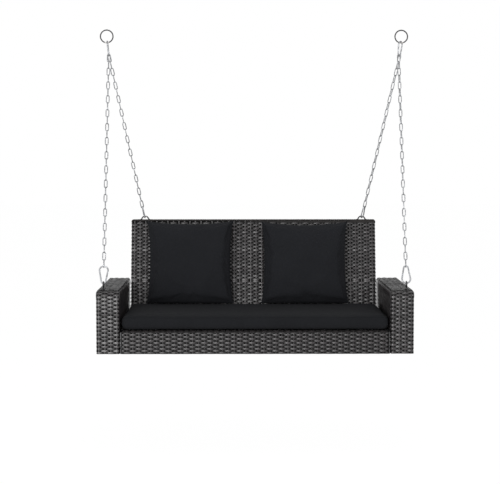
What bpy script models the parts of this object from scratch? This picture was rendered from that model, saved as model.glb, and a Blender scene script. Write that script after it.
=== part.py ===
"""Hanging wicker bench: woven rattan over steel tube frames, carried by four chains and six snap hooks.

The origin is the middle of the line that the bench swings about, which runs through the lowest wire
of the two fixed hanging rings. X runs across the bench, +Y towards its back and +Z up.
"""

import math

import bmesh
import bpy
from mathutils import Matrix
from mathutils import Vector

# Overall sizes of the bench, in metres, measured from its underside and from the front of its arms.
SEAT_WIDTH = 1.320
SEAT_DEPTH = 0.640
ARM_WIDTH = 0.100
ARM_HEIGHT = 0.265
DECK_HEIGHT = 0.095
BACK_HEIGHT = 0.530
BACK_RECLINE = math.radians(11.0)
BACK_SIDE_GAP = 0.0055
BACK_LEG_SPACE = 0.0083
BACK_REAR_INSET = 0.0005

# How the bench hangs: the underside below the swing line, and the arms' front ahead of it.
HANG_DROP = 1.310
AXIS_SETBACK = 0.372

# Clearances: between pieces that touch, and around a shank in its hole.
FIT = 0.0003
HOLE_FIT = 0.0004

# Woven rattan skins and their edges.
WEAVE = 0.005
ARM_EDGE_RADIUS = 0.010
ARM_FRONT_RADIUS = 0.030
ARM_REAR_RADIUS = 0.020
BACK_CORNER_RADIUS = 0.012
BACK_EDGE_RADIUS = 0.005
DECK_NOSE_RADIUS = 0.010
APRON_SIDE_GAP = 0.0045

# Square steel tubes: the seat and back frames, and the lighter arm frames.
TUBE = 0.020
ARM_TUBE = 0.016
TUBE_WALL = 0.0015
POST_TUBE = 0.016
STILE_TUBE = 0.016
CROSS_ROD = 0.010
ARM_ROD_HEIGHT = 0.113
ARM_TOP_ROD_FRONT = 0.282
ARM_TOP_ROD_REAR = 0.126
ARM_LOW_ROD_FRONT = 0.088
ARM_LOW_ROD_REAR = 0.101
ARM_DRAIN_FRONT = 0.192
WELD_DEPTH = 0.0007
DRAIN_HOLE = 0.005
BACK_RAIL_HEIGHT = 0.125
STILE_OFFSET = 0.180
CROSS_BAR_OFFSET = 0.190

# Assembly bolts: M6 button heads.
BOLT = 0.006
BOLT_HEAD = 0.0105
BOLT_HEAD_HEIGHT = 0.0034
BOLT_GRIP = 0.009
HEX_KEY = 0.004
BOLT_SOCKET_DEPTH = 0.0014
ARM_BOLT_HEIGHT = 0.009
ARM_BOLT_COUNT = 3
ARM_BOLT_FRONT = 0.080
ARM_BOLT_REAR = 0.066

# Eye bolts on the arms, with the strap that they clamp, a washer and a nut.
EYE_SETBACK = 0.056
EYE_WIRE = 0.006
EYE_OUTER = 0.030
EYE_NECK = 0.0022
EYE_COLLAR = 0.011
EYE_COLLAR_BITE = 0.0018
EYE_SHANK = 0.022
WASHER_OUTER = 0.018
WASHER_THICKNESS = 0.0016
NUT_ACROSS_FLATS = 0.010
NUT_HEIGHT = 0.005
NUT_TUBE_GAP = 0.0009
STRAP_WIDTH = 0.030
STRAP_THICKNESS = 0.004

# Wire arches welded on the top tube of the back.
ARCH_INSET = 0.062
ARCH_WIRE = 0.006
ARCH_RADIUS = 0.016
ARCH_RISE = 0.015
ARCH_FOOT_IN = 0.021
ARCH_FOOT_OUT = 0.034
ARCH_SPREAD = math.radians(15)

# Fixed hanging rings that the swing line runs through.
RING_INSET = 0.020
RING_OUTER = 0.060
RING_WIRE = 0.0055

# Snap hooks: lengths, widths of the wide and the narrow end, and wire.
FRONT_HOOK_LENGTH = 0.080
FRONT_HOOK_WIDTH = 0.042
FRONT_HOOK_NARROW = 0.0250
FRONT_HOOK_WIRE = 0.0065
TOP_HOOK_LENGTH = 0.070
TOP_HOOK_WIDTH = 0.035
TOP_HOOK_NARROW = 0.0250
TOP_HOOK_WIRE = 0.0060
REAR_HOOK_LENGTH = 0.060
REAR_HOOK_WIDTH = 0.030
REAR_HOOK_NARROW = 0.0195
REAR_HOOK_WIRE = 0.0055

# How far each snap hook leans and is turned about its own length, by side of the bench.
TOP_HOOK_LEAN = math.radians(6.0)
TOP_HOOK_TURN_LEFT = 0.0
TOP_HOOK_TURN_RIGHT = math.radians(38.0)
REAR_HOOK_TURN_LEFT = math.radians(12.0)
REAR_HOOK_TURN_RIGHT = math.radians(-30.0)

# Snap hook details, as multiples of the hook's wire.
HOOK_SHOULDER = 0.10
HOOK_PIVOT = 0.75
HOOK_NOSE = 0.20
HOOK_TAB = 0.38
HOOK_TAB_HALF = 0.45
HOOK_TAB_ROOT = 0.40
HOOK_LATCH = 0.60
GATE_WIRE = 0.96
GATE_HEEL = 0.50
GATE_PIN = 0.32
GATE_PIN_HALF = 0.40

# Clearances of the hooks and links: at their crowns, at the gate's two ends, and between two links.
HOOK_PLAY = 0.0005
LINK_PLAY = 0.0009
GATE_NOSE_GAP = 0.0006
GATE_TIP_GAP = 0.0005
GATE_SLOT_GAP = 0.0004
TOP_LINK_GAP = 0.0008

# Long-link chain: inner length and width of a link and its wire, then the flat of its crown and the
# room for the crown's corners in a hook, as multiples of the link's half width and of its wire.
LINK_PITCH = 0.0315
LINK_WIRE = 0.004
LINK_INSIDE = 0.008
LINK_LAP = 0.0002
LINK_CROWN_FLAT = 0.6
LINK_SHOULDER = 0.45

# Cushions: gaps to what is around them, thickness and the pillows' places.
CUSHION_THICKNESS = 0.065
CUSHION_SIDE_GAP = 0.004
CUSHION_FRONT = 0.004
CUSHION_RADIUS = 0.020
PILLOW_HEIGHT = 0.372
PILLOW_THICKNESS = 0.115
PILLOW_EDGE = 0.016
PILLOW_LEFT_SPACE = 0.080
PILLOW_RIGHT_SPACE = 0.137
PILLOW_MIDDLE_SPACE = 0.123
PILLOW_CROWN = 0.7
SOFT_GAP = 0.0008

# Looks, as (colour, roughness, metallic).
BLACK_STEEL = ((0.022, 0.022, 0.024), 0.42, 0.0)
ZINC = ((0.66, 0.68, 0.71), 0.34, 1.0)
RATTAN = ((0.036, 0.031, 0.032), 0.38, 0.0)
CHARCOAL_CLOTH = ((0.020, 0.021, 0.024), 0.92, 0.0)

# A sharp bend's mitre is cut off where it would reach further than one over this.
MITRE_LIMIT = 0.2

# Local planes: profiles are drawn across local X and Z, then laid in one of these.
SIDE_PLANE = Matrix.Rotation(math.pi / 2, 4, "Z")
FLOOR_PLANE = Matrix.Rotation(-math.pi / 2, 4, "X")

# Sizes that follow from the ones above.
HALF_WIDTH = SEAT_WIDTH / 2
INNER_HALF = HALF_WIDTH - ARM_WIDTH
BACK_WIDTH = 2 * (INNER_HALF - BACK_SIDE_GAP)
BACK_THICKNESS = TUBE + 2 * (WEAVE + FIT)
BACK_REACH = BACK_HEIGHT * math.tan(BACK_RECLINE) + BACK_THICKNESS / 2 * math.cos(BACK_RECLINE)
BACK_FOOT_Y = SEAT_DEPTH - BACK_REAR_INSET - BACK_REACH
ARCH_OFFSET = BACK_WIDTH / 2 - ARCH_INSET
RING_OFFSET = HALF_WIDTH - RING_INSET
NUT_ACROSS_CORNERS = NUT_ACROSS_FLATS / math.cos(math.pi / 6)
EYE_INSET = WEAVE + FIT + ARM_TUBE + NUT_ACROSS_CORNERS / 2 + NUT_TUBE_GAP
LINK_WIDTH = LINK_INSIDE + 2 * LINK_WIRE
TOP_LINK_SPREAD = LINK_WIRE / 2 + TOP_LINK_GAP
TOP_LINK_REACH = TOP_HOOK_NARROW / 2 - TOP_HOOK_WIRE - LINK_WIRE / 2
TOP_LINK_DROP = math.sqrt(TOP_LINK_REACH ** 2 - TOP_LINK_SPREAD ** 2)
TOP_LINK_RISE = (TOP_HOOK_NARROW - TOP_HOOK_WIRE) / 2 - TOP_LINK_DROP + LINK_SHOULDER * LINK_WIRE
PILLOW_SPACES = PILLOW_LEFT_SPACE + PILLOW_MIDDLE_SPACE + PILLOW_RIGHT_SPACE
PILLOW_WIDTH = (2 * INNER_HALF - PILLOW_SPACES) / 2
FRONT_HOOK = (FRONT_HOOK_LENGTH, FRONT_HOOK_WIDTH, FRONT_HOOK_NARROW, FRONT_HOOK_WIRE)
TOP_HOOK = (TOP_HOOK_LENGTH, TOP_HOOK_WIDTH, TOP_HOOK_NARROW, TOP_HOOK_WIRE)
REAR_HOOK = (REAR_HOOK_LENGTH, REAR_HOOK_WIDTH, REAR_HOOK_NARROW, REAR_HOOK_WIRE)
TOP_HOOK_TURN = {-1: TOP_HOOK_TURN_LEFT, 1: TOP_HOOK_TURN_RIGHT}
REAR_HOOK_TURN = {-1: REAR_HOOK_TURN_LEFT, 1: REAR_HOOK_TURN_RIGHT}


# --- Shapes -----------------------------------------------------------------------------------------


def round_section(diameter, sides):
    """Corners of a regular polygon that fits in a circle, as offsets across a path."""
    steps = [2 * math.pi * i / sides for i in range(sides)]
    return [(diameter / 2 * math.cos(a), diameter / 2 * math.sin(a)) for a in steps]


def square_section(size):
    """Corners of a square, as offsets across a path."""
    half = size / 2
    return [(-half, -half), (half, -half), (half, half), (-half, half)]


def rounded(corners, radii, steps=5):
    """A right-angled outline with each corner replaced by an arc of its own radius."""
    outline = []
    for i, (corner, radius) in enumerate(zip(corners, radii)):
        here = Vector(corner)
        if radius <= 0:
            outline.append(here)
            continue
        before = (Vector(corners[i - 1]) - here).normalized()
        after = (Vector(corners[(i + 1) % len(corners)]) - here).normalized()
        centre = here + (before + after) * radius
        for k in range(steps + 1):
            turn = math.pi / 2 * k / steps
            outline.append(centre - after * radius * math.cos(turn) - before * radius * math.sin(turn))
    return outline


def arc(centre, radius, start, end, steps):
    """Points along a circle, from one angle to another, both ends included."""
    angles = [start + (end - start) * k / steps for k in range(steps + 1)]
    return [Vector((centre[0] + radius * math.cos(a), centre[1] + radius * math.sin(a))) for a in angles]


def bend(centre, radius, start, end, steps):
    """Corners of a path whose straight runs touch a circle, from one tangent line to another."""
    step = (end - start) / steps
    angles = [start + step * (k + 0.5) for k in range(steps)]
    reach = radius / math.cos(step / 2)
    return [Vector((centre[0] + reach * math.cos(a), centre[1] + reach * math.sin(a))) for a in angles]


def sweep_rings(bm, path, section, closed):
    """Vertices of a section set across each point of a path in the local XZ plane, mitred at bends."""
    rings = []
    count = len(path)
    for i, here in enumerate(path):
        ahead = path[(i + 1) % count] - here if closed or i < count - 1 else here - path[i - 1]
        behind = here - path[i - 1] if closed or i > 0 else ahead
        ahead = ahead.normalized()
        behind = behind.normalized()
        along = (ahead + behind).normalized()
        across = Vector((along.y, -along.x)) / max(along.dot(ahead), MITRE_LIMIT)
        ring = []
        for offset, rise in section:
            spot = here + across * offset
            ring.append(bm.verts.new((spot.x, rise, spot.y)))
        rings.append(ring)
    return rings


def skin(bm, first, second):
    """Quads between two rings with as many vertices each."""
    count = len(first)
    return [bm.faces.new((first[k], first[(k + 1) % count], second[(k + 1) % count], second[k]))
            for k in range(count)]


def sweep(bm, path, section, closed=False):
    """A solid bar along a path."""
    path = [Vector(p) for p in path]
    rings = sweep_rings(bm, path, section, closed)
    faces = []
    for i in range(len(rings) if closed else len(rings) - 1):
        faces += skin(bm, rings[i], rings[(i + 1) % len(rings)])
    if not closed:
        faces.append(bm.faces.new(rings[0]))
        faces.append(bm.faces.new(rings[-1]))
    bmesh.ops.recalc_face_normals(bm, faces=faces)
    return faces


def square_tube(bm, path, size, closed=False):
    """A hollow square tube along a path: open at both ends, or a loop whose bore the holes open."""
    path = [Vector(p) for p in path]
    bore = square_section(size - 2 * TUBE_WALL)
    if closed:
        sweep(bm, path, square_section(size), closed=True)
        inside = sweep(bm, path, bore, closed=True)
        bmesh.ops.reverse_faces(bm, faces=inside)
        return
    outer = sweep_rings(bm, path, square_section(size), False)
    inner = sweep_rings(bm, path, bore, False)
    faces = []
    for rings in (outer, inner):
        for first, second in zip(rings, rings[1:]):
            faces += skin(bm, first, second)
    faces += skin(bm, outer[0], inner[0])
    faces += skin(bm, outer[-1], inner[-1])
    bmesh.ops.recalc_face_normals(bm, faces=faces)


def prism(bm, outline, depth):
    """An outline in the local XZ plane, given a thickness along local Y, half to each side."""
    near = [bm.verts.new((p[0], -depth / 2, p[1])) for p in outline]
    far = [bm.verts.new((p[0], depth / 2, p[1])) for p in outline]
    faces = skin(bm, near, far)
    faces.append(bm.faces.new(near))
    faces.append(bm.faces.new(far))
    bmesh.ops.recalc_face_normals(bm, faces=faces)
    return faces


def box(bm, low, high):
    """A block between two opposite corners."""
    size = [b - a for a, b in zip(low, high)]
    middle = [(a + b) / 2 for a, b in zip(low, high)]
    bmesh.ops.create_cube(bm, size=1, matrix=Matrix.Translation(middle) @ Matrix.Diagonal((*size, 1)))


def rod(bm, start, end, diameter, sides=8):
    """A round bar between two points."""
    start = Vector(start)
    run = Vector(end) - start
    turn = run.to_track_quat("Z", "Y").to_matrix().to_4x4()
    bmesh.ops.create_cone(bm, cap_ends=True, segments=sides, radius1=diameter / 2, radius2=diameter / 2,
                          depth=run.length, matrix=Matrix.Translation(start + run / 2) @ turn)


def torus(bm, radius, wire, centre=(0, 0), steps=16, sides=6):
    """A closed wire ring in the local XZ plane."""
    circle = bend(centre, radius, 0, 2 * math.pi, steps)
    sweep(bm, circle, round_section(wire, sides), closed=True)


# --- Objects ----------------------------------------------------------------------------------------


def clear_scene():
    """Start from an empty scene."""
    for item in list(bpy.data.objects):
        bpy.data.objects.remove(item, do_unlink=True)


def empty(name, matrix, parent=None):
    """A named point that pieces hang on."""
    item = bpy.data.objects.new(name, None)
    bpy.context.scene.collection.objects.link(item)
    item.parent = parent
    item.matrix_local = matrix
    return item


def shape(name, bm, parent=None, matrix=None, plane=None):
    """A mesh object from a bmesh, laid in a plane if one is given."""
    if plane is not None:
        bmesh.ops.transform(bm, matrix=plane, verts=bm.verts)
    mesh = bpy.data.meshes.new(name)
    bm.to_mesh(mesh)
    bm.free()
    item = bpy.data.objects.new(name, mesh)
    bpy.context.scene.collection.objects.link(item)
    item.parent = parent
    if matrix is not None:
        item.matrix_local = matrix
    return item


def finish(item, look):
    """A piece's own material."""
    colour, roughness, metallic = look
    material = bpy.data.materials.new(item.name)
    material.use_nodes = True
    surface = material.node_tree.nodes["Principled BSDF"]
    surface.inputs["Base Color"].default_value = (*colour, 1)
    surface.inputs["Roughness"].default_value = roughness
    surface.inputs["Metallic"].default_value = metallic
    item.data.materials.append(material)


def soften(item, degrees=40):
    """Smooth shading on round surfaces, with edges kept where faces meet sharply."""
    item.data.shade_smooth()
    item.data.set_sharp_from_angle(angle=math.radians(degrees))


def combine(target, tool, operation):
    """A live Boolean with a hidden tool."""
    tool.hide_render = True
    tool.display_type = "WIRE"
    modifier = target.modifiers.new(tool.name, "BOOLEAN")
    modifier.operation = operation
    modifier.solver = "EXACT"
    modifier.object = tool


# --- Where things are -------------------------------------------------------------------------------


def back_front_y(height):
    """Where the front of the back is, at a height above the underside."""
    slope = math.tan(BACK_RECLINE)
    return BACK_FOOT_Y + height * slope - BACK_THICKNESS / 2 / math.cos(BACK_RECLINE)


def side_matrix(side):
    """The frame of an arm: local Y runs from the arm's middle towards the seat."""
    spot = Vector((side * (HALF_WIDTH - ARM_WIDTH / 2), 0, 0))
    return Matrix.Translation(spot) @ SIDE_PLANE


def hook_frame(low, direction, across):
    """A hook's frame: origin on an end's wire, local Z along the hook, local X across it."""
    along = direction.normalized()
    sideways = (across - along * across.dot(along)).normalized()
    normal = along.cross(sideways)
    turn = Matrix((sideways, normal, along)).transposed().to_4x4()
    return Matrix.Translation(low) @ turn


# --- Arms -------------------------------------------------------------------------------------------


def arm_outline(inset):
    """An arm's side outline, moved inwards, with the radii of its upper corners to match."""
    high = ARM_HEIGHT - inset
    rear = SEAT_DEPTH - inset
    corners = [(inset, 0), (inset, high), (rear, high), (rear, 0)]
    return corners, [0, ARM_FRONT_RADIUS - inset, ARM_REAR_RADIUS - inset, 0]


def arm_bolt_places():
    """Distances behind the arms' front of the bolts that join arm and seat."""
    last = back_front_y(0) - ARM_BOLT_REAR
    pitch = (last - ARM_BOLT_FRONT) / (ARM_BOLT_COUNT - 1)
    return [ARM_BOLT_FRONT + k * pitch for k in range(ARM_BOLT_COUNT)]


def arm_skin(seat, name, side):
    """The woven box around an arm, open underneath."""
    outline, radii = arm_outline(0)
    bm = bmesh.new()
    prism(bm, rounded(outline, radii), ARM_WIDTH)
    rim = [e for e in bm.edges if len({round(v.co.y, 6) for v in e.verts}) == 1]
    rim = [e for e in rim if max(v.co.z for v in e.verts) > 1e-6]
    bmesh.ops.bevel(bm, geom=rim, offset=ARM_EDGE_RADIUS, segments=3, profile=0.5, affect="EDGES")
    arm = shape(name, bm, seat, side_matrix(side))
    finish(arm, RATTAN)
    soften(arm)

    outline, radii = arm_outline(WEAVE)
    outline[0] = (outline[0][0], -WEAVE)
    outline[3] = (outline[3][0], -WEAVE)
    bm = bmesh.new()
    prism(bm, rounded(outline, radii), ARM_WIDTH - 2 * WEAVE)
    combine(arm, shape(name + "_hollow", bm, seat, side_matrix(side)), "DIFFERENCE")

    combine(arm, arm_bolt_holes(seat, name + "_holes", side), "DIFFERENCE")
    combine(arm, eye_hole(seat, name + "_eye_hole", side), "DIFFERENCE")


def arm_bolt_holes(seat, name, side):
    """Holes for the bolts that come from the seat frame into an arm."""
    bm = bmesh.new()
    for y in arm_bolt_places():
        start = (side * (INNER_HALF - WEAVE), y, ARM_BOLT_HEIGHT)
        end = (side * (INNER_HALF + WEAVE + FIT + ARM_TUBE / 2), y, ARM_BOLT_HEIGHT)
        rod(bm, start, end, BOLT + 2 * HOLE_FIT)
    return shape(name, bm, seat)


def eye_place(side):
    """Where an eye bolt's shank meets the top of an arm."""
    return Vector((side * (HALF_WIDTH - EYE_INSET), EYE_SETBACK, ARM_HEIGHT))


def eye_hole(seat, name, side):
    """A hole for an eye bolt, through the weave and the strap under it."""
    spot = eye_place(side)
    bm = bmesh.new()
    reach = Vector((0, 0, WEAVE + FIT + 2 * STRAP_THICKNESS))
    rod(bm, spot - reach, spot + reach, EYE_WIRE + 2 * HOLE_FIT)
    return shape(name, bm, seat)


def arm_frame(seat, name, side):
    """Two tube loops, joined by welded rods and by the strap that takes the eye bolt."""
    inset = WEAVE + FIT + ARM_TUBE / 2
    outline, radii = arm_outline(inset)
    outline[0] = (outline[0][0], ARM_TUBE / 2)
    outline[3] = (outline[3][0], ARM_TUBE / 2)
    path = rounded(outline, radii)
    offset = ARM_WIDTH / 2 - inset
    bm = bmesh.new()
    square_tube(bm, path, ARM_TUBE, closed=True)
    bmesh.ops.translate(bm, vec=(0, offset, 0), verts=bm.verts)
    first = list(bm.verts)
    square_tube(bm, path, ARM_TUBE, closed=True)
    second = [v for v in bm.verts if v not in set(first)]
    bmesh.ops.translate(bm, vec=(0, -offset, 0), verts=second)
    frame = shape(name, bm, seat, side_matrix(side))
    finish(frame, BLACK_STEEL)
    soften(frame)

    reach = offset - ARM_TUBE / 2 + WELD_DEPTH
    top = ARM_HEIGHT - inset
    front = inset
    rear = SEAT_DEPTH - inset
    places = [(front, ARM_ROD_HEIGHT), (rear, ARM_ROD_HEIGHT)]
    places += [(ARM_TOP_ROD_FRONT, top), (SEAT_DEPTH - ARM_TOP_ROD_REAR, top)]
    places += [(ARM_LOW_ROD_FRONT, ARM_TUBE / 2), (SEAT_DEPTH - ARM_LOW_ROD_REAR, ARM_TUBE / 2)]
    bm = bmesh.new()
    for y, z in places:
        rod(bm, (y, -reach, z), (y, reach, z), CROSS_ROD)
    strap_top = ARM_HEIGHT - WEAVE - FIT - WELD_DEPTH
    low = (EYE_SETBACK - STRAP_WIDTH / 2, -reach, strap_top - STRAP_THICKNESS)
    box(bm, low, (EYE_SETBACK + STRAP_WIDTH / 2, reach, strap_top))
    combine(frame, shape(name + "_cross_rods", bm, seat, side_matrix(side)), "UNION")

    combine(frame, arm_bolt_holes(seat, name + "_holes", side), "DIFFERENCE")
    combine(frame, eye_hole(seat, name + "_eye_hole", side), "DIFFERENCE")
    outer = side * (HALF_WIDTH - inset)
    bm = bmesh.new()
    for x in (outer, side * (INNER_HALF + inset)):
        rod(bm, (x, ARM_DRAIN_FRONT, -ARM_TUBE), (x, ARM_DRAIN_FRONT, ARM_TUBE / 2), DRAIN_HOLE)
    combine(frame, shape(name + "_drains", bm, seat), "DIFFERENCE")


# --- Eye bolts --------------------------------------------------------------------------------------


def eye_centre(side):
    """The middle of an eye bolt's eye."""
    return eye_place(side) + Vector((0, 0, FIT + WASHER_THICKNESS + FIT + EYE_NECK + EYE_OUTER / 2))


def eye_bolt(seat, name, side):
    """A bent eye in the YZ plane on a threaded shank."""
    spot = eye_centre(side)
    bm = bmesh.new()
    torus(bm, (EYE_OUTER - EYE_WIRE) / 2, EYE_WIRE)
    eye = shape(name, bm, seat, Matrix.Translation(spot) @ SIDE_PLANE)
    finish(eye, BLACK_STEEL)
    soften(eye)
    base = -EYE_OUTER / 2 - EYE_NECK
    bm = bmesh.new()
    rod(bm, (0, 0, EYE_WIRE / 2 - EYE_OUTER / 2), (0, 0, base - EYE_SHANK), EYE_WIRE)
    combine(eye, shape(name + "_shank", bm, seat, Matrix.Translation(spot)), "UNION")
    bm = bmesh.new()
    rod(bm, (0, 0, EYE_COLLAR_BITE - EYE_OUTER / 2), (0, 0, base), EYE_COLLAR, sides=10)
    combine(eye, shape(name + "_collar", bm, seat, Matrix.Translation(spot)), "UNION")


def eye_washer(seat, name, side):
    """The washer between an eye bolt's collar and the woven top of an arm."""
    bm = bmesh.new()
    rod(bm, (0, 0, FIT), (0, 0, FIT + WASHER_THICKNESS), WASHER_OUTER, sides=16)
    washer = shape(name, bm, seat, Matrix.Translation(eye_place(side)))
    finish(washer, BLACK_STEEL)
    soften(washer)
    bm = bmesh.new()
    rod(bm, (0, 0, -FIT), (0, 0, 3 * WASHER_THICKNESS), EYE_WIRE + 2 * HOLE_FIT)
    hole = shape(name + "_hole", bm, seat, Matrix.Translation(eye_place(side)))
    combine(washer, hole, "DIFFERENCE")


def eye_nut(seat, name, side):
    """The hexagon nut that clamps an eye bolt under the strap."""
    strap_bottom = WEAVE + FIT + WELD_DEPTH + STRAP_THICKNESS
    spot = eye_place(side) - Vector((0, 0, strap_bottom + FIT + NUT_HEIGHT / 2))
    half = NUT_HEIGHT / 2
    bm = bmesh.new()
    rod(bm, (0, 0, -half), (0, 0, half), NUT_ACROSS_CORNERS, sides=6)
    nut = shape(name, bm, seat, Matrix.Translation(spot))
    finish(nut, ZINC)
    bm = bmesh.new()
    rod(bm, (0, 0, -NUT_HEIGHT), (0, 0, NUT_HEIGHT), EYE_WIRE + 2 * HOLE_FIT)
    combine(nut, shape(name + "_hole", bm, seat, Matrix.Translation(spot)), "DIFFERENCE")


# --- Seat -------------------------------------------------------------------------------------------


def upper_rail_low():
    """The underside of the upper seat loop, which carries the woven deck."""
    return DECK_HEIGHT - WEAVE - FIT - TUBE


def seat_loop(seat, name, low, bolts):
    """One rectangular tube loop of the seat frame, on its own height, with its bolt holes."""
    half = TUBE / 2
    x = INNER_HALF - FIT - half
    front = WEAVE + FIT + half
    rear = back_front_y(low) - FIT - half
    bm = bmesh.new()
    square_tube(bm, [(-x, front), (x, front), (x, rear), (-x, rear)], TUBE, closed=True)
    frame = shape(name, bm, seat, Matrix.Translation((0, 0, low + half)), FLOOR_PLANE)
    finish(frame, BLACK_STEEL)
    bm = bmesh.new()
    for start, end in bolts:
        rod(bm, start, end, BOLT + 2 * HOLE_FIT)
    combine(frame, shape(name + "_holes", bm, seat), "DIFFERENCE")


def side_bolt_run(side, y):
    """The line of a bolt from inside the lower seat loop into an arm: under its head, and its tip."""
    head = side * (INNER_HALF - FIT - TUBE - FIT)
    tip = side * (INNER_HALF + WEAVE + FIT + BOLT_GRIP)
    return Vector((head, y, ARM_BOLT_HEIGHT)), Vector((tip, y, ARM_BOLT_HEIGHT))


def leg_x():
    """How far out the side tubes of the back are."""
    return BACK_WIDTH / 2 - WEAVE - BACK_LEG_SPACE - TUBE / 2


def rear_bolt_run(side, low):
    """The line of a bolt from a seat loop's rear rail into a side tube of the back."""
    height = low + TUBE / 2
    head = back_front_y(low) - FIT - TUBE - FIT
    tip = back_front_y(height) + WEAVE + FIT + BOLT_GRIP
    x = side * leg_x()
    return Vector((x, head, height)), Vector((x, tip, height))


def longer(run, extra):
    """A line drawn out at its first end, so that a cutter passes the surface there."""
    start, end = run
    return start + (start - end).normalized() * extra, end


def bolt(seat, name, run):
    """A button-head bolt with a hexagon socket."""
    start, end = run
    along = (end - start).normalized()
    bm = bmesh.new()
    rod(bm, start - along * BOLT_HEAD_HEIGHT / 2, end, BOLT)
    screw = shape(name, bm, seat)
    finish(screw, ZINC)
    soften(screw)
    bm = bmesh.new()
    rod(bm, start - along * BOLT_HEAD_HEIGHT, start, BOLT_HEAD, sides=12)
    combine(screw, shape(name + "_head", bm, seat), "UNION")
    bm = bmesh.new()
    key = HEX_KEY / math.cos(math.pi / 6)
    bottom = start - along * (BOLT_HEAD_HEIGHT - BOLT_SOCKET_DEPTH)
    rod(bm, start - along * BOLT_HEAD_HEIGHT * 2, bottom, key, sides=6)
    combine(screw, shape(name + "_socket", bm, seat), "DIFFERENCE")


def seat_skin(seat):
    """The woven deck, turned down over the front as an apron."""
    rear = back_front_y(DECK_HEIGHT - WEAVE) - FIT
    top = DECK_HEIGHT
    outer = rounded([(0, 0), (0, top), (rear, top)], [0, DECK_NOSE_RADIUS, 0])
    inner = [Vector((rear, top - WEAVE)), Vector((WEAVE, top - WEAVE)), Vector((WEAVE, 0))]
    outline = outer + inner
    bm = bmesh.new()
    prism(bm, outline, 2 * (INNER_HALF - APRON_SIDE_GAP))
    deck = shape("seat_weave", bm, seat, None, SIDE_PLANE)
    finish(deck, RATTAN)
    soften(deck)


def straight_tube(seat, name, start, end, size):
    """A square tube between two points in one direction, open at both ends."""
    start = Vector(start)
    run = Vector(end) - start
    bm = bmesh.new()
    square_tube(bm, [(0, 0), (0, run.length)], size)
    turn = run.to_track_quat("Z", "Y").to_matrix().to_4x4()
    tube = shape(name, bm, seat, Matrix.Translation(start) @ turn)
    finish(tube, BLACK_STEEL)


def seat_frame(seat):
    """Two tube loops, one above the other, with posts between them and bars under the deck."""
    high = upper_rail_low()
    lower_runs = [longer(side_bolt_run(s, y), TUBE) for s in (-1, 1) for y in arm_bolt_places()]
    lower_runs += [longer(rear_bolt_run(s, 0), TUBE) for s in (-1, 1)]
    seat_loop(seat, "seat_lower_loop", 0, lower_runs)
    seat_loop(seat, "seat_upper_loop", high, [longer(rear_bolt_run(s, high), TUBE) for s in (-1, 1)])

    x = INNER_HALF - FIT - TUBE / 2
    front = WEAVE + FIT + TUBE / 2
    rear = back_front_y(0) - FIT - TUBE / 2
    for tag, px, py in (("front_left", -x, front), ("front_right", x, front),
                        ("rear_left", -x, rear), ("rear_right", x, rear)):
        straight_tube(seat, "seat_post_" + tag, (px, py, TUBE + FIT), (px, py, high - FIT), POST_TUBE)
    bar_front = front + TUBE / 2 + FIT
    bar_rear = back_front_y(high) - FIT - TUBE - FIT
    for tag, side in (("left", -1), ("right", 1)):
        bx = side * CROSS_BAR_OFFSET
        straight_tube(seat, "seat_cross_bar_" + tag, (bx, bar_front, high + TUBE / 2),
                      (bx, bar_rear, high + TUBE / 2), TUBE)


# --- Back -------------------------------------------------------------------------------------------


def back_top():
    """The height of the back's rim along its own slope."""
    return BACK_HEIGHT / math.cos(BACK_RECLINE)


def back_matrix():
    """The frame of the reclined back: local X across, local Z up its slope."""
    return Matrix.Translation((0, BACK_FOOT_Y, 0)) @ Matrix.Rotation(-BACK_RECLINE, 4, "X")


def back_foot():
    """How far up its slope the back starts, so that its rear edge clears the underside."""
    return BACK_THICKNESS / 2 * math.tan(BACK_RECLINE) + FIT


def arch_path(foot_drop):
    """The bent wire of an arch: two feet that lie along the tube, and a round between them."""
    centre = (0, ARCH_RISE - ARCH_RADIUS)
    curve = bend(centre, ARCH_RADIUS, math.pi - ARCH_SPREAD, ARCH_SPREAD, 7)
    feet = [(-ARCH_FOOT_OUT, foot_drop), (-ARCH_FOOT_IN, foot_drop)]
    return feet + curve + [(-x, z) for x, z in feet[::-1]]


def arch_foot_drop():
    """Where an arch's feet are, below the woven rim: on the tube under it."""
    return ARCH_WIRE / 2 - WEAVE


def back_skin(seat, name):
    """The woven pocket over the back's frame, open underneath."""
    half = BACK_WIDTH / 2
    foot = back_foot()
    top = back_top()
    corners = [(-half, foot), (-half, top), (half, top), (half, foot)]
    bm = bmesh.new()
    prism(bm, rounded(corners, [0, BACK_CORNER_RADIUS, BACK_CORNER_RADIUS, 0]), BACK_THICKNESS)
    rim = [e for e in bm.edges if len({round(v.co.y, 6) for v in e.verts}) == 1]
    rim = [e for e in rim if max(v.co.z for v in e.verts) > foot + 1e-6]
    bmesh.ops.bevel(bm, geom=rim, offset=BACK_EDGE_RADIUS, segments=3, profile=0.5, affect="EDGES")
    back = shape(name, bm, seat, back_matrix())
    finish(back, RATTAN)
    soften(back)
    bm = bmesh.new()
    inner = BACK_THICKNESS / 2 - WEAVE
    box(bm, (WEAVE - half, -inner, foot - WEAVE), (half - WEAVE, inner, top - WEAVE))
    combine(back, shape(name + "_hollow", bm, seat, back_matrix()), "DIFFERENCE")
    bm = bmesh.new()
    for side in (-1, 1):
        x = side * ARCH_OFFSET
        reach = ARCH_FOOT_OUT + HOLE_FIT
        slot = ARCH_WIRE / 2 + HOLE_FIT
        box(bm, (x - reach, -slot, top - 2 * WEAVE), (x + reach, slot, top + WEAVE))
    combine(back, shape(name + "_slots", bm, seat, back_matrix()), "DIFFERENCE")
    bm = bmesh.new()
    for side in (-1, 1):
        for low in (0, upper_rail_low()):
            start, end = rear_bolt_run(side, low)
            rod(bm, start, end, BOLT + 2 * HOLE_FIT)
    combine(back, shape(name + "_holes", bm, seat), "DIFFERENCE")


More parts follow.
